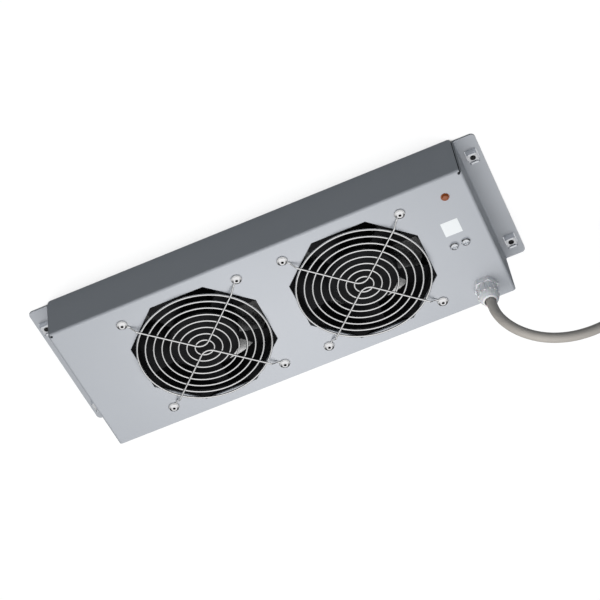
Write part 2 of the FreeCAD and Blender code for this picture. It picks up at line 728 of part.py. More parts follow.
# ---------------------------------------------------------------- cable gland and mains lead
LOCK_NUT_BOTTOM = PLATE_UNDER - LOCK_NUT_H
COLLAR_TOP = PLATE_TOP + GLAND_COLLAR
NECK_TOP = COLLAR_TOP + GLAND_NECK_H
CAP_TOP = COLLAR_TOP + GLAND_CAP_H
GLAND_TIP = CAP_TOP + GLAND_DOME_H
SEAL_BOTTOM = NECK_TOP - 5.0


def gland_body():
    """Hex collar on the plate, thread down through it, and the seal's seat above."""
    collar = slab(polygon(6, GLAND_FLATS, GLAND_TURN), PLATE_TOP, COLLAR_TOP)
    shank = post(GLAND_THREAD_D, PLATE_UNDER - GLAND_THREAD_DOWN, COLLAR_TOP)
    neck = post(GLAND_NECK_D, COLLAR_TOP, NECK_TOP)
    body = joined([shank, collar, neck])
    body = body.cut(post(GLAND_BORE_D, PLATE_UNDER - GLAND_THREAD_DOWN - PEN, NECK_TOP + PEN))
    seat = post(CABLE_D + 2 * SEAL_WALL, SEAL_BOTTOM, NECK_TOP + PEN)
    return at(body.cut(seat), GLAND_X, GLAND_Y)


def gland_seal():
    ring = pipe(CABLE_D + 2 * SEAL_WALL, CABLE_D, SEAL_BOTTOM, NECK_TOP)
    return at(ring, GLAND_X, GLAND_Y)


def gland_cap_nut():
    """Ribbed cap that squeezes the seal, with a domed end round the lead."""
    inner = GLAND_NECK_D / 2
    mouth = GLAND_MOUTH_D / 2
    outer = GLAND_FLATS / 2 - GLAND_RIB
    profile = [
        (inner, COLLAR_TOP), (outer, COLLAR_TOP), (outer, CAP_TOP), (outer - 1.0, CAP_TOP + GLAND_DOME_H * 0.5),
        (mouth + 1.6, GLAND_TIP - 0.6), (mouth + 0.7, GLAND_TIP), (mouth, GLAND_TIP), (mouth, CAP_TOP),
        (mouth + 0.9, NECK_TOP), (inner, NECK_TOP),
    ]
    cap = turned(profile)
    rib_angle = 360 / GLAND_RIBS
    rib = block((outer - 0.5, outer + GLAND_RIB), (-0.9, 0.9), (COLLAR_TOP, CAP_TOP - 0.4))
    cap = joined([cap] + [spun(rib, GLAND_TURN + rib_angle * i) for i in range(GLAND_RIBS)])
    return at(cap, GLAND_X, GLAND_Y)


def gland_lock_nut():
    nut = slab(polygon(6, LOCK_NUT_FLATS, GLAND_TURN), LOCK_NUT_BOTTOM, PLATE_UNDER)
    return at(nut.cut(post(GLAND_THREAD_D, LOCK_NUT_BOTTOM - PEN, PLATE_UNDER + PEN)), GLAND_X, GLAND_Y)


CABLE_START_Z = 45.0
COIL_HALF_WIDTH = CABLE_D * COIL_COLUMNS / 2
COIL_BOTTOM = TIE_THICK
COIL_TOP = COIL_BOTTOM + CABLE_D * COIL_ROWS
COIL_OUTER_ROW_R = COIL_MIDDLE_R + CABLE_D * (COIL_COLUMNS - 1) / 2


def cable_points():
    """The lead's route from the gland over to the coil; it stands free, so its points are set by hand."""
    heading = math.radians(CABLE_HEADING)
    # distance out from the gland, height over the floor
    arch = [(0.0, CABLE_START_Z), (0.0, 64.5), (2.3, 86.0), (14.3, 104.4), (33.3, 115.4), (56.3, 116.6),
            (80.1, 108.9), (103.0, 94.6)]
    points = [V(GLAND_X + d * math.cos(heading), GLAND_Y + d * math.sin(heading), z) for d, z in arch]
    points += [V(-276.4, 103.7, 76.2), V(-291.8, 107.8, 54.4), V(-308.2, 110.4, 33.4), V(-329.4, 111.9, 18.9),
               V(-354.0, 112.3, 14.0)]
    return points


def cable_coil():
    """Outer shape of the wound spare length."""
    section = rectangle(2 * COIL_HALF_WIDTH, COIL_TOP - COIL_BOTTOM, 0, COIL_MIDDLE_R, (COIL_TOP + COIL_BOTTOM) / 2)
    edge = CABLE_D * 0.3
    bevelled = []
    for i, (u, v, r) in enumerate(section):
        du = edge if u < COIL_MIDDLE_R else -edge
        dv = edge if v < (COIL_TOP + COIL_BOTTOM) / 2 else -edge
        pair = [(u + du, v), (u, v + dv)]
        bevelled += pair if i in (1, 3) else pair[::-1]
    return at(turned(bevelled), COIL_X, COIL_Y)


def cable_tie():
    """Wire-reinforced strip closed round the coil's section."""
    gap = TIE_CLEARANCE
    inner = rectangle(2 * (COIL_HALF_WIDTH + gap), COIL_TOP - COIL_BOTTOM, 0,
                      COIL_MIDDLE_R, (COIL_TOP + COIL_BOTTOM) / 2)
    outer = rectangle(2 * (COIL_HALF_WIDTH + gap + TIE_THICK), COIL_TOP - COIL_BOTTOM + 2 * TIE_THICK, 0,
                      COIL_MIDDLE_R, (COIL_TOP + COIL_BOTTOM) / 2)
    band = []
    for corners in (outer, inner):
        face = outline(corners, xz)
        face.translate(V(0, -TIE_WIDTH / 2, 0))
        band.append(face.extrude(V(0, TIE_WIDTH, 0)))
    return at(spun(band[0].cut(band[1]), TIE_ANGLE), COIL_X, COIL_Y)


PLUG_FACE = PLUG_RELIEF + PLUG_LENGTH
PLUG_RIM_AT = PLUG_FACE - PLUG_RIM


def coil_exit():
    """Where the lead leaves the coil, and its plan direction there."""
    angle = math.radians(COIL_EXIT_ANGLE)
    place = V(COIL_X + COIL_OUTER_ROW_R * math.cos(angle), COIL_Y + COIL_OUTER_ROW_R * math.sin(angle),
              COIL_BOTTOM + CABLE_D / 2)
    return place, V(-math.sin(angle), math.cos(angle), 0)


def plug_frame():
    """The plug lies on its rim and its relief: where the lead enters, its plan direction and its tilt."""
    tilt = math.atan((PLUG_D - PLUG_NECK_D) / 2 / PLUG_RIM_AT)
    start, ahead = coil_exit()
    entry = start + ahead * TAIL_LENGTH
    entry.z = PLUG_NECK_D / 2 * math.cos(tilt)
    return entry, ahead, tilt


def set_in_place(shape):
    """Carry a shape modelled along +X from the lead's entry to where the plug lies."""
    entry, ahead, tilt = plug_frame()
    turned_up = spun(shape, -math.degrees(tilt), V(0, 0, 0), V(0, 1, 0))
    heading = math.degrees(math.atan2(ahead.y, ahead.x))
    return at(spun(turned_up, heading), entry.x, entry.y, entry.z)


def along_x(profile):
    """A solid turned about X from (x, radius) corners."""
    return outline(profile, xy).revolve(V(0, 0, 0), V(1, 0, 0), 360)


def plug_body():
    """Moulded earthed plug: face, grip, and the tapered relief."""
    r, neck = PLUG_D / 2, PLUG_NECK_D / 2
    body = along_x([(0, CABLE_D / 2), (0, neck), (PLUG_RELIEF, neck + 1.8), (PLUG_RELIEF + 9.0, r - 5.0),
                    (PLUG_RIM_AT - 4.0, r - 3.0), (PLUG_RIM_AT, r), (PLUG_FACE, r),
                    (PLUG_FACE, 0), (PLUG_RELIEF * 0.6, 0), (PLUG_RELIEF * 0.6, CABLE_D / 2)])
    grips = []
    for side in (-1, 1):
        low, high = sorted((side * (r - PLUG_GRIP_DEPTH), side * (r + PEN)))
        grips.append(block((PLUG_RELIEF + 9.0, PLUG_FACE - 15.0), (low, high), (-r, r)))
        # recess for the earth clip
        low, high = sorted((side * (r - PLUG_CLIP_THICK - 0.8), side * (r + PEN)))
        half = PLUG_CLIP_WIDTH / 2 + 0.3
        grips.append(block((PLUG_FACE - PLUG_CLIP_LENGTH, PLUG_FACE + PEN), (-half, half), (low, high)))
        pin_y = side * PLUG_PIN_PITCH / 2
        bore = Part.makeCylinder(PLUG_PIN_D / 2, 8.0 + PEN, V(PLUG_FACE - 8.0, pin_y, 0), V(1, 0, 0))
        grips.append(bore)
    socket = Part.makeCylinder(PLUG_SOCKET_D / 2, PLUG_SOCKET_DEPTH + PEN,
                               V(PLUG_FACE - PLUG_SOCKET_DEPTH, 0, -PLUG_SOCKET_D * 1.9), V(1, 0, 0))
    return set_in_place(body.cut(grips + [socket]))


def plug_pins():
    pins = []
    for side in (-1, 1):
        r = PLUG_PIN_D / 2
        pin = along_x([(PLUG_FACE - 8.0, 0), (PLUG_FACE - 8.0, r), (PLUG_FACE + PLUG_PIN_LENGTH - 1.0, r),
                       (PLUG_FACE + PLUG_PIN_LENGTH, r - 1.0), (PLUG_FACE + PLUG_PIN_LENGTH, 0)])
        pins.append(set_in_place(at(pin, 0, side * PLUG_PIN_PITCH / 2)))
    return pins


def plug_earth_clips():
    clips = []
    for side in (-1, 1):
        seat = PLUG_D / 2 - PLUG_CLIP_THICK - 0.8
        low, high = sorted((side * seat, side * (seat + PLUG_CLIP_THICK)))
        half = PLUG_CLIP_WIDTH / 2
        clip = block((PLUG_FACE - PLUG_CLIP_LENGTH, PLUG_FACE), (-half, half), (low, high))
        clips.append(set_in_place(clip))
    return clips


def cable_tail():
    """The short length from the coil to the plug."""
    start, ahead = coil_exit()
    entry, ahead, tilt = plug_frame()
    inside = PLUG_RELIEF * 0.6
    end = entry + ahead * (inside * math.cos(tilt)) + V(0, 0, inside * math.sin(tilt))
    return tube([start - ahead * 3.0, entry, end], CABLE_D, name="cable_tail")


# ---------------------------------------------------------------- terminal block, lamp and wiring
def pole_x(i):
    return BLOCK_X + (i - 1) * POLE_PITCH


EARTH_POLE, NEUTRAL_POLE, LIVE_POLE = 0, 1, 2
BLOCK_FRONT = BLOCK_Y - BLOCK_WIDTH / 2
BLOCK_BACK = BLOCK_Y + BLOCK_WIDTH / 2


def clamp_screw_places():
    return [(pole_x(i), BLOCK_Y + side * CLAMP_SCREW_SPREAD / 2) for i in range(3) for side in (-1, 1)]


def insert_box(i):
    half = INSERT_WIDTH / 2
    return block((pole_x(i) - half, pole_x(i) + half), (BLOCK_Y - INSERT_LENGTH / 2, BLOCK_Y + INSERT_LENGTH / 2),
                 (POLE_Z - INSERT_HEIGHT / 2, POLE_Z + INSERT_HEIGHT / 2))


def wire_bore(i, diameter):
    return Part.makeCylinder(diameter / 2, BLOCK_WIDTH + 2 * PEN, V(pole_x(i), BLOCK_FRONT - PEN, POLE_Z),
                             V(0, 1, 0))


def terminal_block():
    """Three-pole strip, screwed up under the plate, clamp screws facing down."""
    length = 3 * POLE_PITCH + BLOCK_END
    body = slab(rectangle(length, BLOCK_WIDTH, 1.0, BLOCK_X, BLOCK_Y), BLOCK_BOTTOM, PLATE_UNDER)
    cuts = [insert_box(i) for i in range(3)]
    cuts += [wire_bore(i, INSERT_BORE_D + 0.6) for i in range(3)]
    cuts += [post(CLAMP_HEAD_D + 0.6, BLOCK_BOTTOM - PEN, POLE_Z, *p) for p in clamp_screw_places()]
    cuts += [post(M4_HOLE_D, BLOCK_BOTTOM - PEN, PLATE_TOP, *p) for p in block_screw_centres()]
    # barriers between the poles
    for x, y in block_screw_centres():
        for side in (-1, 1):
            y_in = BLOCK_Y + side * (BLOCK_WIDTH / 2 - 3.5)
            low, high = sorted((y_in, BLOCK_Y + side * (BLOCK_WIDTH / 2 + PEN)))
            cuts.append(block((x - 0.9, x + 0.9), (low, high), (BLOCK_BOTTOM - PEN, PLATE_UNDER - 3.0)))
    return body.cut(cuts)


def terminal_inserts():
    made = []
    for i in range(3):
        holes = [wire_bore(i, INSERT_BORE_D)]
        holes += [post(CLAMP_SCREW_D, BLOCK_BOTTOM - PEN, POLE_Z, *p) for p in clamp_screw_places()[2 * i:2 * i + 2]]
        made.append(insert_box(i).cut(holes))
    return made


def terminal_screws():
    head_low = BLOCK_BOTTOM + 0.6
    head_high = POLE_Z - INSERT_HEIGHT / 2 - 0.5
    tip = POLE_Z - 1.1
    made = []
    for x, y in clamp_screw_places():
        screw = joined([post(CLAMP_HEAD_D, head_low, head_high, x, y), post(CLAMP_SCREW_D, head_high, tip, x, y)])
        slot = block((x - 3, x + 3), (y - 0.3, y + 0.3), (head_low - 1, head_low + 0.8))
        made.append(screw.cut(slot))
    return made


def block_screws():
    """M4 pan heads with a cross recess, seen on the plate."""
    made = []
    for x, y in block_screw_centres():
        r = M4_HEAD_D / 2
        head = turned([(0, PLATE_TOP), (r, PLATE_TOP), (r, PLATE_TOP + M4_HEAD_H * 0.45),
                       (r - 0.9, PLATE_TOP + M4_HEAD_H * 0.85), (r - 2.0, PLATE_TOP + M4_HEAD_H),
                       (0, PLATE_TOP + M4_HEAD_H)])
        head = joined([at(head, x, y), post(M4_D, PLATE_TOP - M4_LENGTH, PLATE_TOP + 0.5, x, y)])
        top = PLATE_TOP + M4_HEAD_H
        arm = slab(rectangle(RECESS_LENGTH, RECESS_WIDTH, 0, x, y), top - RECESS_DEPTH, top + PEN)
        made.append(head.cut([arm, spun(arm, 90, V(x, y, 0))]))
    return made


def nut_top(i):
    """The earth lug lies between the block and the first screw's nut."""
    return BLOCK_BOTTOM - (LUG_THICK if i == 0 else 0.0)


def block_nuts():
    made = []
    for i, (x, y) in enumerate(block_screw_centres()):
        top = nut_top(i)
        made.append(slab(polygon(6, M4_NUT_FLATS, 0, x, y), top - M4_NUT_H, top).cut(
            post(M4_D, top - M4_NUT_H - PEN, top + PEN, x, y)))
    return made


def earth_lug():
    x, y = block_screw_centres()[0]
    low, high = BLOCK_BOTTOM - LUG_THICK, BLOCK_BOTTOM
    eye = post(LUG_D, low, high, x, y)
    tongue = block((x - LUG_TONGUE / 2, x + LUG_TONGUE / 2), (y - LUG_REACH - 1.0, y), (low, high))
    barrel = Part.makeCylinder(LUG_BARREL_D / 2, LUG_BARREL_LENGTH, V(x, y - LUG_REACH, (low + high) / 2), V(0, -1, 0))
    bore = Part.makeCylinder(CORE_D / 2, LUG_BARREL_LENGTH, V(x, y - LUG_REACH - 1.5, (low + high) / 2), V(0, -1, 0))
    return joined([eye, tongue, barrel]).cut([bore, post(M4_HOLE_D, low - 1, high + 1, x, y)])


def lead(points, diameter, name):
    return tube([V(*p) for p in points], diameter, name=name, sides=LEAD_SIDES, most=LEAD_BEND * diameter)


WIRE_END_FRONT = BLOCK_FRONT + 3.5     # how far a lead runs into its pole
WIRE_END_BACK = BLOCK_BACK - 3.5


def earth_link():
    """Earth pole to the lug on the fixing screw."""
    x, y = block_screw_centres()[0]
    low = BLOCK_BOTTOM - LUG_THICK / 2
    start_y = y - LUG_REACH - 2.0
    px = pole_x(EARTH_POLE)
    return lead([(x, start_y, low), (x, start_y - 12, low), (x - 1.5, start_y - 19, low + 2.5),
                 (px, start_y - 18, POLE_Z + 1.5), (px, start_y - 9, POLE_Z), (px, WIRE_END_FRONT, POLE_Z)],
                CORE_D, "earth_link")


def mains_core(i, angle, dip):
    """One core, from the end of the lead's jacket down and over to its pole."""
    a = math.radians(angle)
    x, y = GLAND_X + CORE_SPREAD * math.cos(a), GLAND_Y + CORE_SPREAD * math.sin(a)
    px = pole_x(i)
    return lead([(x, y, CABLE_START_Z), (x, y, 33.0), (x + (px - x) * 0.2, y - 6.0, 24.0 - dip),
                 (x + (px - x) * 0.7, y - 17.0, 23.0 - dip), (px, y - 25.0, 30.0), (px, y - 33.0, POLE_Z),
                 (px, WIRE_END_BACK, POLE_Z)], CORE_D, "core " + str(i))


LENS_TOP = PLATE_TOP + LAMP_RISE
LAMP_BOTTOM = PLATE_UNDER - LAMP_DOWN


def lamp_lens():
    r = LAMP_D / 2
    flange = LAMP_FLANGE_D / 2
    top = PLATE_TOP + LAMP_FLANGE_H
    lens = turned([(0, PLATE_UNDER), (r - 0.5, PLATE_UNDER), (r - 0.5, PLATE_TOP), (flange, PLATE_TOP), (flange, top),
                   (r, top), (r, LENS_TOP - 1.2), (r - 0.6, LENS_TOP - 0.4), (r - 1.6, LENS_TOP), (0, LENS_TOP)])
    return at(lens, LAMP_X, LAMP_Y)


def lamp_body():
    """Barrel that fills the hole round the lens and runs down behind the plate."""
    r = LAMP_D / 2
    body = turned([(0, LAMP_BOTTOM), (r - 0.4, LAMP_BOTTOM), (r - 0.05, LAMP_BOTTOM + 2.0), (r - 0.05, PLATE_TOP),
                   (r - 0.5, PLATE_TOP), (r - 0.5, PLATE_UNDER), (0, PLATE_UNDER)])
    holes = [post(LEAD_D + 0.3, LAMP_BOTTOM - 1, LAMP_BOTTOM + 3.0, 0, side * 1.2) for side in (-1, 1)]
    return at(body.cut(holes), LAMP_X, LAMP_Y)


def lamp_retainer():
    """Push-on toothed washer under the plate."""
    low, high = PLATE_UNDER - RETAINER_THICK, PLATE_UNDER
    ring = pipe(RETAINER_D, LAMP_D, low, high)
    slots = [spun(block((0, RETAINER_D / 2 - 1.6), (-0.4, 0.4), (low - 1, high + 1)), 60 * i) for i in range(6)]
    return at(ring.cut(slots), LAMP_X, LAMP_Y)


LEAD_PLACES = {"fan_1": (-0.85, -0.5), "fan_2": (0.85, -0.5), "lamp": (0.0, 1.0)}


def pole_entry(i, which):
    dx, dz = LEAD_PLACES[which]
    return pole_x(i) + dx, POLE_Z + dz


def lead_pair(name, routes, ends):
    """A live and a neutral lead, each from its own points to its pole."""
    made = []
    for pole, points in routes.items():
        px, pz = pole_entry(pole, ends)
        climb = [(px + dx, BLOCK_FRONT + dy, pz + dz) for dx, dy, dz in POLE_CLIMB[ends]]
        made.append(lead(points + climb + [(px, WIRE_END_FRONT, pz)], LEAD_D, name))
    return made


# last points before a pole, from the pole's mouth: across, out and up
POLE_CLIMB = {
    "fan_1": [(0.0, -16.0, -5.0), (0.0, -8.0, 0.0)],
    "fan_2": [(0.0, -20.0, -6.0), (0.0, -9.0, 0.0)],
    "lamp": [(0.0, -19.0, -4.0), (0.0, -9.0, 0.0)],
}


def lamp_leads():
    y_live, y_neutral = LAMP_Y + 1.2, LAMP_Y - 1.2
    low = LAMP_BOTTOM
    return lead_pair("lamp lead", {
        LIVE_POLE: [(LAMP_X, y_live, low + 2.8), (LAMP_X, y_live, low - 4.0), (LAMP_X + 4.0, LAMP_Y + 7.5, low - 6.5),
                    (LAMP_X + 10.5, LAMP_Y + 15.0, low + 3.5)],
        NEUTRAL_POLE: [(LAMP_X, y_neutral, low + 2.8), (LAMP_X, y_neutral, low - 5.5),
                       (LAMP_X - 1.0, LAMP_Y + 5.0, low - 9.0), (LAMP_X + 1.5, LAMP_Y + 15.0, low - 2.5)],
    }, "lamp")


def lead_start(fan_x, side):
    """Inside the motor, down through the base and along the strut's groove."""
    y = side * (LEAD_D + LEAD_GAP) / 2
    x = fan_x + LEAD_HOLE_X
    edge = fan_x - FAN_SIZE / 2
    return [(x, y, STATOR_Z - COIL_THICK), (x, y, GROOVE_Z), (edge - 1.0, y, GROOVE_Z)]


def fan_1_leads():
    edge = -FAN_X - FAN_SIZE / 2
    return lead_pair("fan 1 lead", {
        LIVE_POLE: lead_start(-FAN_X, 1) + [(edge - 5.5, 0.0, GROOVE_Z + 2.5), (edge - 11.0, -8.0, GROOVE_Z + 9.0),
                                            (edge - 15.5, -17.0, GROOVE_Z + 17.0)],
        NEUTRAL_POLE: lead_start(-FAN_X, -1) + [(edge - 4.0, -2.0, GROOVE_Z), (edge - 9.0, -13.0, GROOVE_Z + 2.5),
                                                (edge - 18.0, -24.0, GROOVE_Z + 9.0)],
    }, "fan_1")


def fan_2_leads():
    """Out of the second fan, round the first fan's front side, and back to the block."""
    edge = FAN_X - FAN_SIZE / 2
    far = -FAN_X - FAN_SIZE / 2
    z = GROOVE_Z
    pitch = LEAD_D + LEAD_GAP
    near_y = -FAN_SIZE / 2 - 0.3 - LEAD_D / 2
    lanes = {}
    for pole, side, row in ((LIVE_POLE, 1, 0), (NEUTRAL_POLE, -1, 1)):
        lane_x = edge - 8.0 + row * pitch
        lane_y = near_y - row * pitch
        lanes[pole] = lead_start(FAN_X, side)[:2] + [
            (lane_x, side * pitch / 2, z), (lane_x, lane_y, z)]
    lanes[LIVE_POLE] += [(far - 5.0, near_y, z + 0.5), (far - 9.0, near_y + 12.0, z + 7.0)]
    lanes[NEUTRAL_POLE] += [(far - 9.0, near_y - pitch, z), (far - 16.0, near_y + 9.0, z + 2.5)]
    return lead_pair("fan 2 lead", lanes, "fan_2")


# ---------------------------------------------------------------- cage nuts
def cage():
    """Spring cage: base on the ear, a folded flap at each end and two legs down into the square hole."""
    base_top = SHEET + CAGE_SHEET
    top = SHEET + CAGE_HEIGHT
    base = slab(rectangle(CAGE_X, CAGE_Y, 0.6), SHEET, base_top)
    parts = [base]
    for side in (-1, 1):
        y = sorted((side * (CAGE_Y / 2 - CAGE_SHEET), side * CAGE_Y / 2))
        half = CAGE_FLAP_WIDTH / 2
        flap = outline([(-half, SHEET), (half, SHEET), (half, top, 1.6), (-half, top, 1.6)], xz)
        flap.translate(V(0, y[0], 0))
        parts.append(flap.extrude(V(0, CAGE_SHEET, 0)))
        tab = sorted((side * (CAGE_Y / 2 - CAGE_TAB), side * (CAGE_Y / 2 - CAGE_SHEET / 2)))
        parts.append(block((-half + 1.8, half - 1.8), tab, (top - CAGE_SHEET, top)))
        x = sorted((side * CAGE_HOLE / 2, side * (CAGE_HOLE / 2 - CAGE_SHEET)))
        parts.append(block(x, (-CAGE_LEG_WIDTH / 2, CAGE_LEG_WIDTH / 2), (0, base_top)))
    return joined(parts).cut(post(CAGE_MOUTH_D, -PEN, base_top + 1))


def cage_nut():
    inner = CAGE_Y - 2 * CAGE_SHEET - 2 * NUT_CLEARANCE
    low = SHEET + CAGE_SHEET
    nut = slab(rectangle(inner, inner, 0.8), low, low + NUT_THICK)
    return nut.cut(post(NUT_BORE_D, low - PEN, low + NUT_THICK + PEN))


# ---------------------------------------------------------------- write every piece
def main():
    save("tray_shell", tray_shell())
    save("label", label())
    guard_shape = guard()
    fan_pieces = [
        ("frame", [fan_frame()]), ("bearing_tube", [bearing_tube()]), ("bearings", bearings()),
        ("stator_core", [stator_core()]), ("windings", windings()), ("rotor_ring", [rotor_ring()]),
        ("rotor_cup", [rotor_cup()]), ("shaft", [shaft()]), ("retaining_clip", [retaining_clip()]),
        ("preload_washer", [preload_washer()]), ("impeller", [impeller()]),
    ]
    for i, (x, y) in enumerate(fan_centres()):
        number = str(i + 1)
        save("guard_" + number, at(guard_shape, x, y))
        save("guard_" + number + "_rivets", *rivets(x, y))
        for name, shapes in fan_pieces:
            save("fan_" + number + "_" + name, *[at(shape, x, y) for shape in shapes])
    save("fan_1_leads", *fan_1_leads())
    save("fan_2_leads", *fan_2_leads())

    save("gland_body", gland_body())
    save("gland_seal", gland_seal())
    save("gland_cap_nut", gland_cap_nut())
    save("gland_lock_nut", gland_lock_nut())
    save("core_live", mains_core(LIVE_POLE, 0, 0.0))
    save("core_neutral", mains_core(NEUTRAL_POLE, 240, 0.0))
    save("core_earth", mains_core(EARTH_POLE, 120, 4.0))

    save("terminal_block", terminal_block())
    save("terminal_inserts", *terminal_inserts())
    save("terminal_screws", *terminal_screws())
    save("block_screws", *block_screws())
    save("block_nuts", *block_nuts())
    save("earth_lug", earth_lug())
    save("earth_link", earth_link())

    save("lamp_lens", lamp_lens())
    save("lamp_body", lamp_body())
    save("lamp_retainer", lamp_retainer())
    save("lamp_leads", *lamp_leads())

    save("cage_nut_cages", *[at(cage(), x, y) for x, y in cage_centres()])
    save("cage_nut_nuts", *[at(cage_nut(), x, y) for x, y in cage_centres()])

    save("mains_cable", tube(cable_points(), CABLE_D, name="mains_cable"))
    save("cable_coil", cable_coil())
    save("cable_tie", cable_tie())
    save("cable_tail", cable_tail())
    save("plug_body", plug_body())
    save("plug_pins", *plug_pins())
    save("plug_earth_clips", *plug_earth_clips())


main()
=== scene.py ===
# %% [markdown]
# # A fan tray for a server rack
# The object is a folded steel tray, one rack unit high, that carries two mains fans behind round
# wire guards. Its construction comes ready made: every plate, screw and blade is already in place at
# its real size. What is left to learn here is how such a thing is dressed: powder coat on sheet
# steel, bright plated wire, black castings, moulded nylon, and a mains lead that lies as a real
# lead would.

# %% Load the construction
import json
import math

import bpy
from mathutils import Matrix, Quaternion, Vector


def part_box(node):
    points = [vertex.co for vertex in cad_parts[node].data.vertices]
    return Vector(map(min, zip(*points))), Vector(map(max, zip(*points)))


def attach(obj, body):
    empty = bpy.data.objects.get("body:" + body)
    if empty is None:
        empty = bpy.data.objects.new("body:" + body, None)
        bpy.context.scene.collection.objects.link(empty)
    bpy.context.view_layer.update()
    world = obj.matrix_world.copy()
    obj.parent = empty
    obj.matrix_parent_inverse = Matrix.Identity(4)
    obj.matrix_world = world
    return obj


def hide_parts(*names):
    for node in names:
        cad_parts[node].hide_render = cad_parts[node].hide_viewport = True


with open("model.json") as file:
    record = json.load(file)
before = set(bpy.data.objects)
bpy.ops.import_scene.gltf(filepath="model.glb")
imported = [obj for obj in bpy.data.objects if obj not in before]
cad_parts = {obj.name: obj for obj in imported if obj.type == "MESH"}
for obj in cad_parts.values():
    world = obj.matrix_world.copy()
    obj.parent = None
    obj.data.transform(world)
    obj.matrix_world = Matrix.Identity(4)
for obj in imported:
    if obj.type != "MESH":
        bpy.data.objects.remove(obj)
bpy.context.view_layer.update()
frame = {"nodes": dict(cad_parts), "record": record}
nodes = frame["nodes"]
MM = 0.001


def mm(*numbers):
    """A point given in millimetres, as a vector in metres."""
    return Vector(numbers) * MM


def heading(degrees):
    """A level vector of length one, turned from +X towards +Y."""
    a = math.radians(degrees)
    return Vector((math.cos(a), math.sin(a), 0.0))


def upward(height):
    return Vector((0.0, 0.0, height))


# %% [markdown]
# ## The camera
# The tray is seen from above its front flange, through a long lens that keeps its edges nearly
# parallel. The camera is turned almost upside down about its own axis, so the flange is at the
# top of the view. It is easier to say where it looks, from which side, how high, how far and how
# much rolled than to write down a matrix, so those values are all there is.

# %% Place the camera
plate_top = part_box("tray_shell")[1].z
CAMERA_AIM = Vector((-17.84 * MM, -6.30 * MM, plate_top))
CAMERA_AZIMUTH = -14.237
CAMERA_ELEVATION = 49.866
CAMERA_ROLL = 169.315
CAMERA_DISTANCE = 1.79105
CAMERA_LENS = 127.81
SENSOR_WIDTH = 36.0
CLIP_NEAR, CLIP_FAR = 0.05, 50.0


def place_camera():
    """A camera that looks at one point from a side, a height and a distance, then rolls."""
    side, height = math.radians(CAMERA_AZIMUTH), math.radians(CAMERA_ELEVATION)
    back = Vector((math.sin(side) * math.cos(height), -math.cos(side) * math.cos(height), math.sin(height)))
    camera = bpy.data.objects.new("camera", bpy.data.cameras.new("camera"))
    camera.data.lens = CAMERA_LENS
    camera.data.sensor_width = SENSOR_WIDTH
    camera.data.clip_start, camera.data.clip_end = CLIP_NEAR, CLIP_FAR
    camera.location = CAMERA_AIM + back * CAMERA_DISTANCE
    camera.rotation_mode = "QUATERNION"
    upright = (-back).to_track_quat("-Z", "Y")
    camera.rotation_quaternion = upright @ Quaternion((0, 0, 1), math.radians(CAMERA_ROLL))
    bpy.context.scene.collection.objects.link(camera)
    bpy.context.scene.camera = camera


place_camera()
print("camera is", CAMERA_DISTANCE, "m from the plate")

# %% [markdown]
# ## The mains lead
# A lead is one smooth curve with a round section. Its control points follow the way it really
# goes: straight up out of the gland, over in a stiff arch, down to the floor, and into a tied coil
# where its spare length is put away. A NURBS curve of order three runs smoothly between such
# points, and no bend has to be drawn by hand.

# %% Route of the lead
LEAD_DIAMETER = 8.6 * MM
GLAND = mm(-164.5, 54.0, 0.0)
LEAD_HEADING = 155.0
# distance out from the gland and height over the floor, in millimetres
LEAD_ARCH = [(0.0, 45.0), (0.0, 64.5), (2.3, 86.0), (14.3, 104.4), (33.3, 115.4), (56.3, 116.6),
             (80.1, 108.9), (103.0, 94.6)]
LEAD_DOWN = [(-276.4, 103.7, 76.2), (-291.8, 107.8, 54.4), (-308.2, 110.4, 33.4), (-329.4, 111.9, 18.9)]
COIL_CENTRE = mm(-345.0, 59.0, 0.0)
COIL_MIDDLE = 44.7 * MM
COIL_FLOOR = 0.5 * MM
COIL_START, COIL_END = 90.0, 2000.0
# the straight run from the coil to the plug, the radius of the plug's neck, and its grip on the lead
TAIL = 40.0 * MM
PLUG_NECK = 6.0 * MM
PLUG_GRIP = 15.6 * MM
# the plug lies on its thin neck and its wide rim, so it tilts by one radius less the other
PLUG_RISE, NECK_TO_RIM = 12.25 * MM, 50.0 * MM
PLUG_TILT = math.atan2(PLUG_RISE, NECK_TO_RIM)


def arch_points():
    """The arch stands over one line on the floor, from the gland outwards."""
    way = heading(LEAD_HEADING)
    return [GLAND + way * out * MM + upward(height * MM) for out, height in LEAD_ARCH]


# %% [markdown]
# The coil has three columns in two layers, so six turns lie side by side and on each other. Each
# turn stops a little short of a full circle, and the lead steps over to the next place in the gap
# that this leaves. That is how a wound lead avoids running through itself.

# %% Turns of the coil
COIL_PLACES = [(1, 1), (0, 1), (-1, 1), (-1, 0), (0, 0), (1, 0)]    # column, layer
COIL_STEP = 20.0
COIL_CROSSING = 42.0


def coil_place(angle):
    """Radius and height of the lead at an angle of winding."""
    share = (angle - COIL_START) / (COIL_END - COIL_START) * len(COIL_PLACES)
    place = min(int(share), len(COIL_PLACES) - 1)
    turn = (COIL_END - COIL_START) / len(COIL_PLACES)
    into = (share - place) * turn
    half = COIL_CROSSING / 2
    other, t = place, 0.0
    if into < half and place > 0:
        other, t = place - 1, 0.5 - into / COIL_CROSSING
    elif turn - into < half and place < len(COIL_PLACES) - 1:
        other, t = place + 1, 0.5 - (turn - into) / COIL_CROSSING
    t = t * t * (3 - 2 * t)    # eases in and out of the step
    column = COIL_PLACES[place][0] * (1 - t) + COIL_PLACES[other][0] * t
    layer = COIL_PLACES[place][1] * (1 - t) + COIL_PLACES[other][1] * t
    return COIL_MIDDLE + column * LEAD_DIAMETER, COIL_FLOOR + (layer + 0.5) * LEAD_DIAMETER


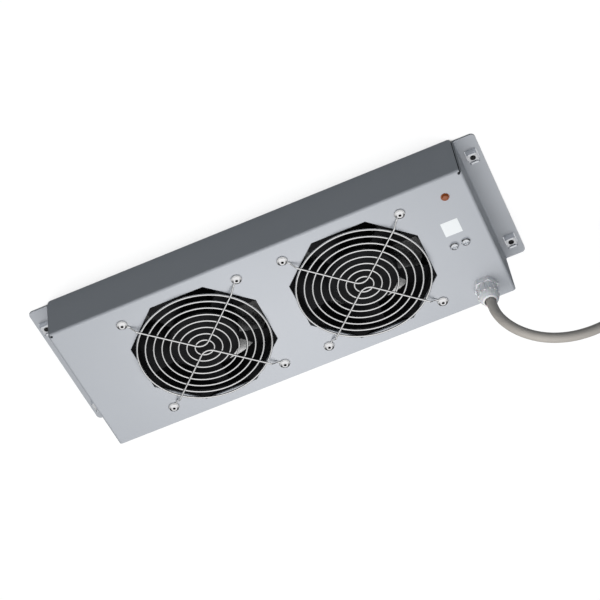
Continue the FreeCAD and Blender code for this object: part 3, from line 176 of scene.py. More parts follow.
def coil_points():
    """Control points stand outside the turn that they pull the curve round."""
    outside = 1 / math.cos(math.radians(COIL_STEP / 2))
    points = []
    steps = round((COIL_END - COIL_START) / COIL_STEP)
    for i in range(steps + 1):
        angle = COIL_START + (COIL_END - COIL_START) * i / steps
        radius, height = coil_place(angle)
        points.append(COIL_CENTRE + heading(angle) * radius * outside + upward(height))
    return points


def tail_points():
    """Off the coil along its tangent, into the plug."""
    radius = coil_place(COIL_END)[0]
    way = heading(COIL_END + 90.0)
    entry = COIL_CENTRE + heading(COIL_END) * radius + way * TAIL
    entry.z = PLUG_NECK * math.cos(PLUG_TILT)
    end = entry + way * PLUG_GRIP * math.cos(PLUG_TILT) + upward(PLUG_GRIP * math.sin(PLUG_TILT))
    return [entry, end]


lead_points = arch_points() + [mm(*p) for p in LEAD_DOWN] + coil_points() + tail_points()
print("the lead has", len(lead_points), "control points")

# %% [markdown]
# The curve gets its round section from its bevel. The order is set after the points, since a
# spline that has no points yet can't take it. At the end the curve is turned into a mesh, because
# Blender knows the true outer corners of a mesh, and of a curve only roughly. What is lost with the
# curve is its middle line, so that is kept apart.


# %% Draw the lead
NURBS_ORDER = 3


def curve_object(name, thickness, resolution, steps):
    """An empty curve with a round section, ready for splines."""
    data = bpy.data.curves.new(name, "CURVE")
    data.dimensions = "3D"
    data.bevel_depth = thickness / 2
    data.bevel_resolution = resolution
    data.resolution_u = steps
    data.use_fill_caps = True
    obj = bpy.data.objects.new(name, data)
    bpy.context.scene.collection.objects.link(obj)
    return obj


def add_spline(curve, kind, points):
    """A spline through these points, or pulled by them, depending on its kind."""
    spline = curve.data.splines.new(kind)
    spline.points.add(len(points) - 1)
    for point, place in zip(spline.points, points):
        point.co = (*place, 1.0)
    return spline


def add_nurbs(curve, points):
    spline = add_spline(curve, "NURBS", points)
    spline.order_u = NURBS_ORDER
    spline.use_endpoint_u = True


def as_mesh(curve):
    """The curve's surface as a smooth mesh object of the same name."""
    seen = curve.evaluated_get(bpy.context.evaluated_depsgraph_get())
    shape = bpy.data.meshes.new_from_object(seen)
    shape.shade_smooth()
    name = curve.name
    bpy.data.objects.remove(curve)
    obj = bpy.data.objects.new(name, shape)
    bpy.context.scene.collection.objects.link(obj)
    return obj


def middle_line(curve):
    """The points that the middle of a curve's round section follows."""
    bare = bpy.data.objects.new("bare line", curve.data.copy())
    bare.data.bevel_depth = 0
    line = bpy.data.meshes.new_from_object(bare)
    points = [vertex.co.copy() for vertex in line.vertices]
    bpy.data.objects.remove(bare)
    return points


lead_curve = curve_object("mains_lead", LEAD_DIAMETER, resolution=7, steps=8)
add_nurbs(lead_curve, lead_points)
lead_middle = middle_line(lead_curve)
mains_lead = as_mesh(lead_curve)
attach(mains_lead, "tray")
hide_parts("mains_cable", "cable_coil", "cable_tail")
# the lead's real length is 1.8 m, and its far end has a plug
print("the lead is drawn through", len(lead_middle), "points")

# %% [markdown]
# ## The finger guards
# Each guard is bright wire: eight round rings, welded under two crossing wires that are bent at the
# middle. The four ends step down to the plate and close into eyelets round the rivets. The
# construction carries them with flat sides, which is right for a workshop drawing, but bright wire
# is all about the thin line of light on a round section.

# %% Sizes of a guard
WIRE = 1.7 * MM
RING_COUNT = 8
RING_FIRST = 8.2 * MM
RING_PITCH = 7.03 * MM
RING_HEIGHT = plate_top + 4.0 * MM
ARM_HEIGHT = RING_HEIGHT + WIRE - 0.3 * MM
FOOT_HEIGHT = plate_top + WIRE / 2
RIVET_OUT = 52.5 * MM
EYELET = 3.95 * MM
FOOT_OUT = math.hypot(RIVET_OUT, RIVET_OUT) - EYELET
ARM_WAYS = (-135.0, -45.0)
JOG_FROM, JOG_TO = 61.5 * MM, 67.2 * MM
CENTRE_BEND, JOG_BEND = 8.0 * MM, 2.5 * MM
ARM_BENDS = [JOG_BEND, JOG_BEND, CENTRE_BEND, JOG_BEND, JOG_BEND]
ARC_STEPS = 6
RING_STEPS = 96
EYELET_STEPS = 32
ring_last = RING_FIRST + (RING_COUNT - 1) * RING_PITCH
print("a guard has", RING_COUNT, "rings out to", round(ring_last / MM, 1), "mm")

# %% [markdown]
# A wire bender makes straight runs and round bends. The helper does the same: it takes the corners
# of the path, cuts each one back, and puts an arc of the wanted radius in its place.


# %% Bend a wire round its corners
def rounded(corners, radii):
    """Points along a path whose inner corners are replaced by arcs."""
    path = [corners[0]]
    for before, corner, after, radius in zip(corners, corners[1:], corners[2:], radii):
        back = (before - corner).normalized()
        on = (after - corner).normalized()
        half = back.angle(on) / 2
        middle = corner + (back + on).normalized() * radius / math.sin(half)
        first = corner + back * radius / math.tan(half) - middle
        last = corner + on * radius / math.tan(half) - middle
        turns = [first.slerp(last, i / ARC_STEPS) for i in range(ARC_STEPS + 1)]
        path += [middle + turn.normalized() * radius for turn in turns]
    return path + [corners[-1]]


def add_line(curve, points, closed=False):
    spline = add_spline(curve, "POLY", points)
    spline.use_cyclic_u = closed
    spline.use_smooth = True


def circle(centre, radius, steps):
    return [centre + heading(360.0 * i / steps) * radius for i in range(steps)]


print("a bend has", ARC_STEPS + 1, "points")


# %% [markdown]
# The two crossing wires are one shape turned by half a circle, and so are the four eyelets by a
# quarter. Both guards are the same, so one function draws a guard round the middle of its fan.


# %% Draw both guards
def arm_corners(centre, turn):
    """Corners of one crossing wire: eyelet, step up, middle, step down, eyelet."""
    foot = centre + upward(FOOT_HEIGHT)
    arm = centre + upward(ARM_HEIGHT)
    ends = []
    for degrees in ARM_WAYS:
        way = heading(turn + degrees)
        ends.append([foot + way * FOOT_OUT, foot + way * JOG_TO, arm + way * JOG_FROM])
    return ends[0] + [arm] + ends[1][::-1]


def fan_middle(number):
    """The point on the floor under a fan's axis."""
    low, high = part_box(f"fan_{number}_rotor_cup")
    return Vector(((low.x + high.x) / 2, (low.y + high.y) / 2, 0.0))


def draw_guard(number):
    """One guard round the middle of its fan, as a piece of its own."""
    centre = fan_middle(number)
    wires = curve_object(f"wire_guard_{number}", WIRE, resolution=3, steps=1)
    ring_middle = centre + upward(RING_HEIGHT)
    for i in range(RING_COUNT):
        add_line(wires, circle(ring_middle, RING_FIRST + i * RING_PITCH, RING_STEPS), closed=True)
    for turn in (0.0, 180.0):
        add_line(wires, rounded(arm_corners(centre, turn), ARM_BENDS))
    for x in (-RIVET_OUT, RIVET_OUT):
        for y in (-RIVET_OUT, RIVET_OUT):
            eye = centre + Vector((x, y, FOOT_HEIGHT))
            add_line(wires, circle(eye, EYELET, EYELET_STEPS), closed=True)
    guard = as_mesh(wires)
    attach(guard, "tray")
    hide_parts(f"guard_{number}")
    return guard


guards = [draw_guard(number) for number in (1, 2)]
print("guards drawn:", [guard.name for guard in guards])


# %% [markdown]
# ## Effects that many finishes share
# No real surface has one flat colour. Powder coat has a faint orange peel, cast metal is grainy,
# moulded plastic is shinier where hands touch it, and a folded edge catches a thin line of light,
# which is partly real light on a rounded normal and partly a painted highlight. Each of these is
# built once as a node group and then placed in the materials with other values. Textures read the
# object coordinates, which are metres here, so a size in millimetres means what it says.


# %% Start a node group
def new_group(name, inputs, outputs):
    """An empty shader group with named sockets, and the nodes at its two ends."""
    group = bpy.data.node_groups.new(name, "ShaderNodeTree")
    for title, kind, value in inputs:
        socket = group.interface.new_socket(title, in_out="INPUT", socket_type="NodeSocket" + kind)
        socket.default_value = value
    for title, kind in outputs:
        group.interface.new_socket(title, in_out="OUTPUT", socket_type="NodeSocket" + kind)
    return group, group.nodes.new("NodeGroupInput"), group.nodes.new("NodeGroupOutput")


def math_node(group, operation, first, second):
    """A Math node whose two inputs are sockets or plain numbers."""
    node = group.nodes.new("ShaderNodeMath")
    node.operation = operation
    for socket, value in zip(node.inputs, (first, second)):
        if isinstance(value, (int, float)):
            socket.default_value = value
        else:
            group.links.new(value, socket)
    return node.outputs[0]


def place_on_object(group):
    """Where the shaded point lies, in metres."""
    return group.nodes.new("ShaderNodeTexCoord").outputs["Object"]


def split_vector(group, vector):
    """The three parts of a vector, to be asked for as X, Y and Z."""
    split = group.nodes.new("ShaderNodeSeparateXYZ")
    group.links.new(vector, split.inputs[0])
    return split.outputs


def noise(group, size, detail):
    """Noise between 0 and 1 whose lumps are about the given size in millimetres."""
    texture = group.nodes.new("ShaderNodeTexNoise")
    texture.inputs["Detail"].default_value = detail
    group.links.new(place_on_object(group), texture.inputs["Vector"])
    group.links.new(math_node(group, "DIVIDE", 1.0 / MM, size), texture.inputs["Scale"])
    return texture.outputs["Fac"]


CLOUD_CONTRAST = 3.0


def clouds(group, size, detail):
    """Noise that goes about as far below nought as above it."""
    centred = math_node(group, "SUBTRACT", noise(group, size, detail), 0.5)
    return math_node(group, "MULTIPLY", centred, CLOUD_CONTRAST)


print("helpers for groups are ready")


# %% [markdown]
# **Uneven tone** makes a colour a little lighter and darker in soft clouds. **Handled gloss** does
# the same for the roughness, which shows only where light is reflected, as on real plastic.


# %% Uneven tone and handled gloss
def make_uneven_tone():
    group, start, end = new_group(
        "uneven tone",
        [("Colour", "Color", (0.5, 0.5, 0.5, 1.0)), ("Spread", "Float", 0.05), ("Size", "Float", 20.0)],
        [("Colour", "Color")])
    cloud = clouds(group, start.outputs["Size"], detail=3.0)
    change = math_node(group, "MULTIPLY", cloud, start.outputs["Spread"])
    factor = math_node(group, "ADD", change, 1.0)
    scale = group.nodes.new("ShaderNodeVectorMath")
    scale.operation = "SCALE"
    group.links.new(start.outputs["Colour"], scale.inputs[0])
    group.links.new(factor, scale.inputs["Scale"])
    group.links.new(scale.outputs[0], end.inputs["Colour"])
    return group


def make_handled_gloss():
    group, start, end = new_group(
        "handled gloss",
        [("Roughness", "Float", 0.4), ("Spread", "Float", 0.05), ("Size", "Float", 12.0)],
        [("Roughness", "Float")])
    smear = clouds(group, start.outputs["Size"], detail=4.0)
    change = math_node(group, "MULTIPLY", smear, start.outputs["Spread"])
    group.links.new(math_node(group, "ADD", start.outputs["Roughness"], change), end.inputs["Roughness"])
    return group


uneven_tone = make_uneven_tone()
handled_gloss = make_handled_gloss()
print("groups:", uneven_tone.name, "and", handled_gloss.name)


# %% [markdown]
# **Fine grain** is a height that a Bump node turns into tiny slopes: orange peel when it is broad
# and shallow, casting skin when it is small and deep. **Layers** are even ridges along the height,
# which is how stacked steel sheets and wound wire look.


# %% Fine grain and layers
def make_fine_grain():
    group, start, end = new_group(
        "fine grain", [("Size", "Float", 0.8), ("Depth", "Float", 0.5)], [("Height", "Float")])
    bumps = noise(group, start.outputs["Size"], detail=2.0)
    group.links.new(math_node(group, "MULTIPLY", bumps, start.outputs["Depth"]), end.inputs["Height"])
    return group


def make_layers():
    group, start, end = new_group(
        "layers",
        [("Pitch", "Float", 0.5), ("Depth", "Float", 1.0)],
        [("Height", "Float"), ("Mask", "Float")])
    height = split_vector(group, place_on_object(group))["Z"]
    turns = math_node(group, "DIVIDE", 2 * math.pi / MM, start.outputs["Pitch"])
    phase = math_node(group, "MULTIPLY", height, turns)
    wave = math_node(group, "SINE", phase, 0.0)
    mask = math_node(group, "ADD", math_node(group, "MULTIPLY", wave, 0.5), 0.5)
    group.links.new(mask, end.inputs["Mask"])
    group.links.new(math_node(group, "MULTIPLY", mask, start.outputs["Depth"]), end.inputs["Height"])
    return group


fine_grain = make_fine_grain()
layers = make_layers()
print("groups:", fine_grain.name, "and", layers.name)


# %% [markdown]
# ** Edge highlight** finds the corners. The Bevel node gives the normal that a corner would have if it
# were rounded off, and where that differs from the true normal there is an edge. That mask, broken
# into patches, lays a lighter colour on the corners as a painted highlight. The same node also gives
# the rounded normal itself, so a sheet edge catches a thin line of real light as well. **Settled
# dust** lies on what faces up, in patches.


# %% Edge highlight and settled dust
# gain and patches of the painted edge highlight
EDGE_GAIN = 4.0
HIGHLIGHT_PATCH_SIZE = 3.0
HIGHLIGHT_PATCH_LEAST = 0.2
BEVEL_SAMPLES = 4


# a mask for a painted highlight on the corners, in patches, and the rounded normal of the edges
def make_edge_highlight():
    group, start, end = new_group(
        "edge highlight",
        [("Width", "Float", 0.4), ("Amount", "Float", 1.0)],
        [("Mask", "Float"), ("Normal", "Vector")])
    bevel = group.nodes.new("ShaderNodeBevel")
    bevel.samples = BEVEL_SAMPLES
    group.links.new(math_node(group, "MULTIPLY", start.outputs["Width"], MM), bevel.inputs["Radius"])
    geometry = group.nodes.new("ShaderNodeNewGeometry")
    match = group.nodes.new("ShaderNodeVectorMath")
    match.operation = "DOT_PRODUCT"
    group.links.new(bevel.outputs["Normal"], match.inputs[0])
    group.links.new(geometry.outputs["Normal"], match.inputs[1])
    turned = math_node(group, "SUBTRACT", 1.0, match.outputs["Value"])
    strong = math_node(group, "MULTIPLY", turned, EDGE_GAIN)
    patchy = math_node(group, "ADD", noise(group, HIGHLIGHT_PATCH_SIZE, detail=3.0), HIGHLIGHT_PATCH_LEAST)
    mask = math_node(group, "MULTIPLY", strong, patchy)
    limited = math_node(group, "MINIMUM", math_node(group, "MULTIPLY", mask, start.outputs["Amount"]), 1.0)
    group.links.new(limited, end.inputs["Mask"])
    group.links.new(bevel.outputs["Normal"], end.inputs["Normal"])
    return group


def make_settled_dust():
    group, start, end = new_group(
        "settled dust",
        [("Amount", "Float", 0.1), ("Size", "Float", 9.0)],
        [("Mask", "Float")])
    geometry = group.nodes.new("ShaderNodeNewGeometry")
    up = math_node(group, "MAXIMUM", split_vector(group, geometry.outputs["Normal"])["Z"], 0.0)
    patches = math_node(group, "MULTIPLY", up, noise(group, start.outputs["Size"], detail=4.0))
    group.links.new(math_node(group, "MULTIPLY", patches, start.outputs["Amount"]), end.inputs["Mask"])
    return group


edge_highlight = make_edge_highlight()
settled_dust = make_settled_dust()
print("groups:", edge_highlight.name, "and", settled_dust.name)


# %% [markdown]
# ** Rivet bore shade** is painted shade: the holes in the heads of the blind rivets, where the pulled
# pin was, are painted dark. The rivets stand at the corners of a square round each fan, and the tray
# is the same to both sides of its middle. So two foldings of the plane, with Absolute nodes, bring all
# eight heads to one place.


# %% Painted shade in the rivet bores
BORE_RADIUS = 1.3 * MM
FAN_OUT = fan_middle(2).x


def folded(group, place, middle):
    """Distance past a middle, the same on both sides of nought."""
    return math_node(group, "SUBTRACT", math_node(group, "ABSOLUTE", place, 0.0), middle)


# a mask of the rivet bores, where shade is painted
def make_rivet_bore_shade():
    group, start, end = new_group(
        "rivet bore shade", [("Radius", "Float", BORE_RADIUS)], [("Mask", "Float")])
    place = split_vector(group, place_on_object(group))
    across = folded(group, folded(group, place["X"], FAN_OUT), RIVET_OUT)
    along = folded(group, place["Y"], RIVET_OUT)
    squares = [math_node(group, "MULTIPLY", way, way) for way in (across, along)]
    distance = math_node(group, "SQRT", math_node(group, "ADD", *squares), 0.0)
    inside = math_node(group, "LESS_THAN", distance, start.outputs["Radius"])
    group.links.new(inside, end.inputs["Mask"])
    return group


rivet_bore_shade = make_rivet_bore_shade()
print("group:", rivet_bore_shade.name)


# %% [markdown]
# A finish starts as a plain Principled surface and gains its effects one by one. The small class
# below keeps track of what feeds the colour, so that each effect is placed after the last one.
# Metals take their colour from what they reflect, so they have Metallic at one. Coatings and
# plastics have it at nought. All sizes of effects are in millimetres.


# %% Build a surface step by step
# the sockets of a Mix node when it mixes colours
MIX_FACTOR, MIX_UNDER, MIX_OVER, MIX_RESULT = 0, 6, 7, 2
BUMP_HEIGHT = 0.1 * MM
DUST = (0.30, 0.29, 0.27)


class Surface:
    """A material with one Principled surface, and the effects placed on it."""

    def __init__(self, slot, colour, roughness, metallic=0.0, specular=0.5):
        self.slot = slot
        self.material = bpy.data.materials.new(slot)
        self.material.use_nodes = True
        self.tree = self.material.node_tree
        self.face = self.tree.nodes["Principled BSDF"]
        self.colour = (*colour, 1.0)
        self.face.inputs["Base Color"].default_value = self.colour
        self.face.inputs["Roughness"].default_value = roughness
        self.face.inputs["Metallic"].default_value = metallic
        self.face.inputs["Specular IOR Level"].default_value = specular
        self.material.diffuse_color = self.colour

    def place(self, group, **values):
        """Puts a group in this material and sets its inputs by name."""
        node = self.tree.nodes.new("ShaderNodeGroup")
        node.node_tree = group
        for title, value in values.items():
            node.inputs[title].default_value = value
        return node

    def feed(self, socket):
        """Sends the colour so far, a value or a link, into a socket."""
        if isinstance(self.colour, tuple):
            socket.default_value = self.colour
        else:
            self.tree.links.new(self.colour, socket)

    def show(self, colour):
        """Takes a link as the colour so far."""
        self.colour = colour
        self.tree.links.new(colour, self.face.inputs["Base Color"])

    def tone(self, spread, size):
        node = self.place(uneven_tone, Spread=spread, Size=size)
        self.feed(node.inputs["Colour"])
        self.show(node.outputs["Colour"])

    def gloss(self, spread, size):
        roughness = self.face.inputs["Roughness"]
        node = self.place(handled_gloss, Roughness=roughness.default_value, Spread=spread, Size=size)
        self.tree.links.new(node.outputs["Roughness"], roughness)

    def mix(self, mask, colour):
        """Lays another colour over the surface where the mask is white."""
        node = self.tree.nodes.new("ShaderNodeMix")
        node.data_type = "RGBA"
        self.tree.links.new(mask, node.inputs[MIX_FACTOR])
        self.feed(node.inputs[MIX_UNDER])
        node.inputs[MIX_OVER].default_value = (*colour, 1.0)
        self.show(node.outputs[MIX_RESULT])

    def bump(self, height, strength, normal=None):
        node = self.tree.nodes.new("ShaderNodeBump")
        node.inputs["Strength"].default_value = strength
        node.inputs["Distance"].default_value = BUMP_HEIGHT
        self.tree.links.new(height, node.inputs["Height"])
        if normal:
            self.tree.links.new(normal, node.inputs["Normal"])
        self.tree.links.new(node.outputs["Normal"], self.face.inputs["Normal"])

    def grain(self, size, depth, normal=None):
        node = self.place(fine_grain, Size=size, Depth=depth)
        self.bump(node.outputs["Height"], 1.0, normal)

    def dust(self, amount, size=9.0, colour=DUST):
        node = self.place(settled_dust, Amount=amount, Size=size)
        self.mix(node.outputs["Mask"], colour)


finishes = {}


def keep(surface):
    """Files a finished surface under its material slot."""
    finishes[surface.slot] = surface.material
    return surface.material


print("a surface is built from:", "tone, gloss, grain, dust, edges")


# %% [markdown]
# ## Folded sheet steel
# The tray is light grey powder coat, baked on after folding. It is even and half matt, with a faint
# orange peel, and its folded edges are painted a lighter grey as a highlight. The bare white square
# between the lamp and the two screws is a paper-white film, smoother than the coat round it.

# %% Tray and label
COAT_GREY = (0.478, 0.484, 0.504)
# a lighter grey painted on the edges as a highlight
COAT_EDGE_HIGHLIGHT = (0.60, 0.61, 0.64)


def tray_coat():
    surface = Surface("tray_coat", COAT_GREY, roughness=0.42)
    surface.tone(spread=0.018, size=55.0)
    surface.gloss(spread=0.04, size=18.0)
    # the edges are painted lighter, a painted highlight
    edges = surface.place(edge_highlight, Width=0.5, Amount=0.5)
    surface.mix(edges.outputs["Mask"], COAT_EDGE_HIGHLIGHT)
    surface.grain(size=0.9, depth=0.10, normal=edges.outputs["Normal"])
    return keep(surface)


def label_white():
    surface = Surface("label_white", (0.88, 0.88, 0.87), roughness=0.35)
    surface.tone(spread=0.01, size=8.0)
    surface.gloss(spread=0.05, size=6.0)
    return keep(surface)


print("sheet finishes:", tray_coat().name, "and", label_white().name)

# %% [markdown]
# ## Bright metal
# The guards are nickel plated wire, the rivets bare aluminium, the screws and cage nuts zinc plated
# steel. They differ less in colour than in how sharply they reflect: nickel is nearly a mirror,
# zinc is a little milky, and rolled spring steel lies between.

# %% Guards, rivets, screws and cage nuts
# near black, painted into the rivet bores as their shade
BORE_SHADE = (0.012, 0.012, 0.013)
NICKEL = (0.90, 0.90, 0.90)
ALUMINIUM = (0.84, 0.84, 0.85)
ZINC = (0.73, 0.75, 0.78)


def bright_surface(slot, colour, roughness, tone, grain):
    """A metal with clouded tone, handled gloss and a fine grain."""
    surface = Surface(slot, colour, roughness, metallic=1.0)
    surface.tone(spread=tone, size=2.5)
    surface.gloss(spread=roughness / 3, size=3.0)
    surface.grain(size=0.5, depth=grain)
    return surface


def bright_metal(slot, colour, **looks):
    return keep(bright_surface(slot, colour, **looks))


def guard_chrome():
    return bright_metal("guard_chrome", NICKEL, roughness=0.14, tone=0.04, grain=0.04)


def rivet_metal():
    surface = bright_surface("rivet_metal", ALUMINIUM, roughness=0.17, tone=0.05, grain=0.08)
    # the bores are painted dark as shade
    bores = surface.place(rivet_bore_shade)
    surface.mix(bores.outputs["Mask"], BORE_SHADE)
    return keep(surface)


def zinc():
    return bright_metal("zinc", ZINC, roughness=0.20, tone=0.08, grain=0.08)


def cage_steel():
    return bright_metal("cage_steel", ZINC, roughness=0.22, tone=0.06, grain=0.06)


def nut_steel():
    return bright_metal("nut_steel", (0.64, 0.65, 0.67), roughness=0.30, tone=0.10, grain=0.12)


print("bright metals:", [make().name for make in (guard_chrome, rivet_metal, zinc, cage_steel, nut_steel)])

# %% [markdown]
# ## The fans
# A mains fan has a frame of cast aluminium with black stoving paint, and a moulded impeller in
# black plastic pressed over the rotor. Both are so dark that their shape shows only in what they
# reflect, so the frame gets a casting grain and the blades stay smoother. A little dust keeps
# them from being one black hole.

# %% Frame and impeller
def fan_casting():
    surface = Surface("fan_casting", (0.008, 0.008, 0.009), roughness=0.48, specular=0.18)
    surface.tone(spread=0.12, size=9.0)
    surface.gloss(spread=0.06, size=7.0)
    surface.dust(amount=0.02)
    surface.grain(size=0.7, depth=0.45)
    return keep(surface)


def impeller_black():
    surface = Surface("impeller_black", (0.005, 0.005, 0.006), roughness=0.40, specular=0.12)
    surface.tone(spread=0.10, size=12.0)
    surface.gloss(spread=0.05, size=10.0)
    surface.dust(amount=0.018, size=6.0)
    surface.grain(size=1.2, depth=0.08)
    return keep(surface)


print("fan finishes:", fan_casting().name, impeller_black().name)

# %% [markdown]
# Inside the hub is a small outer-rotor motor. Its core is a stack of stamped sheets and its coils
# are wound wire, so both get the layers group. The shaft runs in two steel bearings in a brass
# tube. None of this shows from outside, but the part comes apart into these pieces.


# %% Motor
def core_steel():
    surface = Surface("core_steel", (0.36, 0.37, 0.39), roughness=0.42, metallic=1.0)
    stack = surface.place(layers, Pitch=1.0, Depth=0.8)
    surface.mix(stack.outputs["Mask"], (0.50, 0.51, 0.53))
    surface.bump(stack.outputs["Height"], 0.8)
    return keep(surface)


def copper():
    surface = Surface("copper", (0.62, 0.25, 0.10), roughness=0.30, metallic=0.85)
    wires = surface.place(layers, Pitch=0.8, Depth=1.0)
    surface.mix(wires.outputs["Mask"], (0.78, 0.36, 0.16))
    surface.bump(wires.outputs["Height"], 1.0)
    return keep(surface)


def turned_metal(slot, colour, roughness):
    """A turned or pressed metal piece of the motor."""
    return bright_metal(slot, colour, roughness=roughness, tone=0.06, grain=0.05)


def motor_metals():
    turned_metal("tube_brass", (0.72, 0.53, 0.27), roughness=0.25)
    turned_metal("bearing_steel", (0.66, 0.66, 0.67), roughness=0.18)
    turned_metal("cup_steel", (0.34, 0.35, 0.37), roughness=0.38)


motor_metals()
print("motor finishes:", core_steel().name, copper().name, "and three turned metals")

# %% [markdown]
# ## Moulded pieces
# The gland is light grey nylon, nearly the colour of the tray but warmer. Nylon lets a little light
# into its skin, which softens its shadows. The terminal block is natural nylon, the lamp has a
# clear amber cap over a dark barrel, and the seal is rubber.


# %% Nylon, rubber and the lamp
def moulded(slot, colour, roughness, grain=0.06):
    """A moulded plastic or rubber with its skin of fine grain."""
    surface = Surface(slot, colour, roughness)
    surface.tone(spread=0.035, size=7.0)
    surface.gloss(spread=0.06, size=5.0)
    surface.grain(size=0.6, depth=grain)
    return surface


def gland_plastic():
    surface = moulded("gland_plastic", (0.86, 0.84, 0.84), roughness=0.40, grain=0.10)
    surface.face.inputs["Subsurface Weight"].default_value = 0.08
    surface.face.inputs["Subsurface Scale"].default_value = 1.5 * MM
    surface.dust(amount=0.05, size=4.0, colour=(0.70, 0.67, 0.64))
    return keep(surface)


def block_plastic():
    return keep(moulded("block_plastic", (0.72, 0.70, 0.65), roughness=0.42, grain=0.12))


def lamp_amber():
    surface = moulded("lamp_amber", (0.38, 0.09, 0.016), roughness=0.16, grain=0.01)
    surface.face.inputs["Transmission Weight"].default_value = 0.25
    surface.face.inputs["Coat Weight"].default_value = 0.6
    return keep(surface)


def dark_mouldings():
    keep(moulded("lamp_barrel", (0.03, 0.03, 0.032), roughness=0.35))
    keep(moulded("seal_rubber", (0.022, 0.022, 0.023), roughness=0.62, grain=0.25))
    keep(moulded("tie_black", (0.014, 0.014, 0.015), roughness=0.34, grain=0.08))


dark_mouldings()
print("mouldings:", gland_plastic().name, block_plastic().name, lamp_amber().name, "and three dark ones")

# %% [markdown]
# ## Wires and the lead
# The mains lead has a grey jacket, extruded through a die, so its skin is smooth along its length
# and a little uneven in tone. Under the plate its brown, blue and green-yellow cores reach the
# terminal block, and the fans and the lamp have thin leads of their own. The earth core is green
# with a yellow stripe, which the layers group gives.


# %% Jackets and insulation
def cable_grey():
    surface = moulded("cable_grey", (0.505, 0.458, 0.41), roughness=0.44, grain=0.10)
    surface.dust(amount=0.10, size=5.0, colour=(0.52, 0.49, 0.45))
    return keep(surface)


def core_green():
    surface = moulded("core_green", (0.06, 0.30, 0.05), roughness=0.38)
    stripe = surface.place(layers, Pitch=9.0, Depth=0.0)
    surface.mix(stripe.outputs["Mask"], (0.72, 0.62, 0.05))
    return keep(surface)


def wire_jackets():
    keep(moulded("core_brown", (0.14, 0.06, 0.03), roughness=0.38))
    keep(moulded("core_blue", (0.03, 0.12, 0.45), roughness=0.38))
    keep(moulded("lead_black", (0.02, 0.02, 0.021), roughness=0.40))
    keep(moulded("lead_red", (0.45, 0.025, 0.02), roughness=0.38))


def brass_contacts():
    turned_metal("terminal_brass", (0.74, 0.56, 0.30), roughness=0.26)
    turned_metal("pin_brass", (0.80, 0.74, 0.62), roughness=0.20)


wire_jackets()
brass_contacts()
print("wires:", cable_grey().name, core_green().name, "and four jackets, two contacts")

# %% [markdown]
# ## Dress every piece
# The record says which finish each piece of the construction has, so one loop dresses them all. The
# pieces drawn here take theirs by name.

# %% Put the finishes on
for row in frame["record"]["subparts"]:
    piece = nodes[row["node"]]
    piece.data.materials.clear()
    piece.data.materials.append(finishes[row["material_slot"]])

mains_lead.data.materials.append(finishes["cable_grey"])
for guard in guards:
    guard.data.materials.append(finishes["guard_chrome"])
print(len(finishes), "finishes on", len(nodes), "pieces")

# %% [markdown]
# ## Light and ground
# The tray stands on a white sweep in a white room. The camera sees the room as plain white. As a
# light the room is dimmer and bluish, so the shaded front flange stays much darker than the
# plate. What bright metal mirrors matters as much: a thin wire looks round only when it has
# something bright above it and something dark round it. So reflections see a bright ceiling that
# fades to grey walls. One broad sun-like lamp from above does most of the rest, a little from the
# far end, so that the ear beside the gland lies in the tray's own soft shadow. At a strength of pi
# a matt surface that faces it would show its own colour. A small lamp close above the strip between
# the fans makes the plate brightest there, and lets it fall off to both ends. Mirrors see neither.

# %% The room
ROOM_LIGHT = 0.20
ROOM_TINT = (0.66, 0.84, 1.0, 1.0)
CEILING, WALLS = 1.20, 0.06
# height of a direction, which is one straight up
WALLS_END, CEILING_STARTS = 0.30, 0.85
LAMP_STRENGTH = 2.15
LAMP_WIDTH = 50.0
LAMP_TOWARD = (0.06, 0.0, 1.0)
NEAR_POWER = 0.20
NEAR_SIZE = 0.16
NEAR_PLACE = (0.0, 0.02, 0.26)


def seen_plainly(tree, path):
    """One where the camera looks, also through clear plastic, and nought for other light."""
    through = path.outputs["Is Transmission Ray"]
    return math_node(tree, "MAXIMUM", path.outputs["Is Camera Ray"], through)


def smooth_fade(tree, value, start, end):
    """Eases from one number to another while a value goes from its start to its end."""
    fade = tree.nodes.new("ShaderNodeMapRange")
    fade.interpolation_type = "SMOOTHSTEP"
    for side, low, high in (("Min", start[0], start[1]), ("Max", end[0], end[1])):
        fade.inputs["From " + side].default_value = low
        fade.inputs["To " + side].default_value = high
    tree.links.new(value, fade.inputs["Value"])
    return fade.outputs["Result"]


def ceiling_glow(tree):
    """Bright overhead and grey at the horizon, from the direction that a reflection looks."""
    way = tree.nodes.new("ShaderNodeTexCoord").outputs["Generated"]
    return smooth_fade(tree, split_vector(tree, way)["Z"], (WALLS_END, WALLS), (CEILING_STARTS, CEILING))


def white_room():
    """Plain white to the camera, and its own brightness to mirrors and to matt surfaces."""
    world = bpy.data.worlds.new("white room")
    bpy.context.scene.world = world
    world.use_nodes = True
    tree = world.node_tree
    white = tree.nodes["Background"]
    white.inputs["Color"].default_value = (1.0, 1.0, 1.0, 1.0)
    path = tree.nodes.new("ShaderNodeLightPath")
    light, mirrored = [tree.nodes.new("ShaderNodeBackground") for _ in range(2)]
    light.inputs["Color"].default_value = ROOM_TINT
    light.inputs["Strength"].default_value = ROOM_LIGHT
    tree.links.new(ceiling_glow(tree), mirrored.inputs["Strength"])
    first, second = [tree.nodes.new("ShaderNodeMixShader") for _ in range(2)]
    tree.links.new(path.outputs["Is Glossy Ray"], first.inputs[0])
    tree.links.new(light.outputs[0], first.inputs[1])
    tree.links.new(mirrored.outputs[0], first.inputs[2])
    tree.links.new(seen_plainly(tree, path), second.inputs[0])
    tree.links.new(first.outputs[0], second.inputs[1])
    tree.links.new(white.outputs[0], second.inputs[2])
    tree.links.new(second.outputs[0], tree.nodes["World Output"].inputs["Surface"])


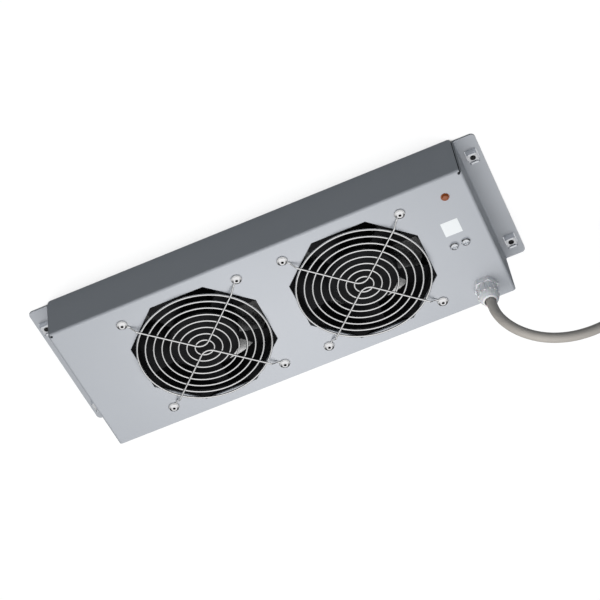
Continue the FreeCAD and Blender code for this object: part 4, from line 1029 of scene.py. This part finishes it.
def unseen_lamp(name, kind, energy):
    """A lamp that neither mirrors nor the camera see."""
    lamp = bpy.data.objects.new(name, bpy.data.lights.new(name, kind))
    lamp.data.energy = energy
    lamp.visible_glossy = False
    lamp.visible_camera = False
    bpy.context.scene.collection.objects.link(lamp)
    return lamp


def broad_lamp():
    """A soft lamp over the tray's far end."""
    lamp = unseen_lamp("broad lamp", "SUN", LAMP_STRENGTH)
    lamp.data.angle = math.radians(LAMP_WIDTH)
    lamp.rotation_mode = "QUATERNION"
    lamp.rotation_quaternion = Vector(LAMP_TOWARD).to_track_quat("Z", "Y")


def near_lamp():
    """A small soft lamp close above the strip between the fans."""
    lamp = unseen_lamp("near lamp", "AREA", NEAR_POWER)
    lamp.data.shape = "DISK"
    lamp.data.size = NEAR_SIZE
    lamp.location = NEAR_PLACE


white_room()
broad_lamp()
near_lamp()
print("room light", ROOM_LIGHT, "and two lamps,", LAMP_STRENGTH, "and", NEAR_POWER)

# %% [markdown]
# The sweep glows by itself, so that it stays as white as the room. Real paper is dark under a thing
# that stands on it; here that darkness is a painted shadow in the glow, and it shows through the fans.
# An Ambient Occlusion node tells how much of the sky a place on the sweep still sees, and the glow is
# turned down where that is little. A small share of plain white surface adds the lamp's own soft shadow.

# %% The sweep
SWEEP_OWN_LIGHT = 0.90
SWEEP_GLOW = 1.04
SWEEP_MIRRORED = 0.11
SKY_REACH = 0.16
SKY_DARK, SKY_WHITE = 0.14, 0.60
SKY_SAMPLES = 8
PAPER_WHITE = (0.95, 0.95, 0.95, 1.0)
SWEEP_SIZE = 8.0
SWEEP_GAP = 0.05 * MM


def glow_with_painted_shadow(tree):
    """The glow's strength: full on open paper, falling to nought where the tray covers it, as a painted
    shadow.
    """
    cover = tree.nodes.new("ShaderNodeAmbientOcclusion")
    cover.samples = SKY_SAMPLES
    cover.inputs["Distance"].default_value = SKY_REACH
    return smooth_fade(tree, cover.outputs["AO"], (SKY_DARK, 0.0), (SKY_WHITE, SWEEP_GLOW))


def sweep_white():
    """Paper that glows where the camera looks at it, and faintly for all other light, with a painted shadow
    under the tray.
    """
    material = bpy.data.materials.new("sweep white")
    material.use_nodes = True
    tree = material.node_tree
    tree.nodes.remove(tree.nodes["Principled BSDF"])
    matt = tree.nodes.new("ShaderNodeBsdfDiffuse")
    matt.inputs["Color"].default_value = PAPER_WHITE
    glow = tree.nodes.new("ShaderNodeEmission")
    plainly = seen_plainly(tree, tree.nodes.new("ShaderNodeLightPath"))
    strength = math_node(tree, "MAXIMUM", plainly, SWEEP_MIRRORED)
    tree.links.new(math_node(tree, "MULTIPLY", strength, glow_with_painted_shadow(tree)), glow.inputs["Strength"])
    mix = tree.nodes.new("ShaderNodeMixShader")
    mix.inputs[0].default_value = SWEEP_OWN_LIGHT
    tree.links.new(matt.outputs[0], mix.inputs[1])
    tree.links.new(glow.outputs[0], mix.inputs[2])
    tree.links.new(mix.outputs[0], tree.nodes["Material Output"].inputs["Surface"])
    return material


bpy.ops.mesh.primitive_plane_add(size=SWEEP_SIZE, location=(0.0, 0.0, -SWEEP_GAP))
sweep = bpy.context.object
sweep.name = "sweep"
sweep.data.materials.append(sweep_white())
bpy.context.scene.view_settings.view_transform = "Standard"
print("the sweep is", SWEEP_SIZE, "m wide")
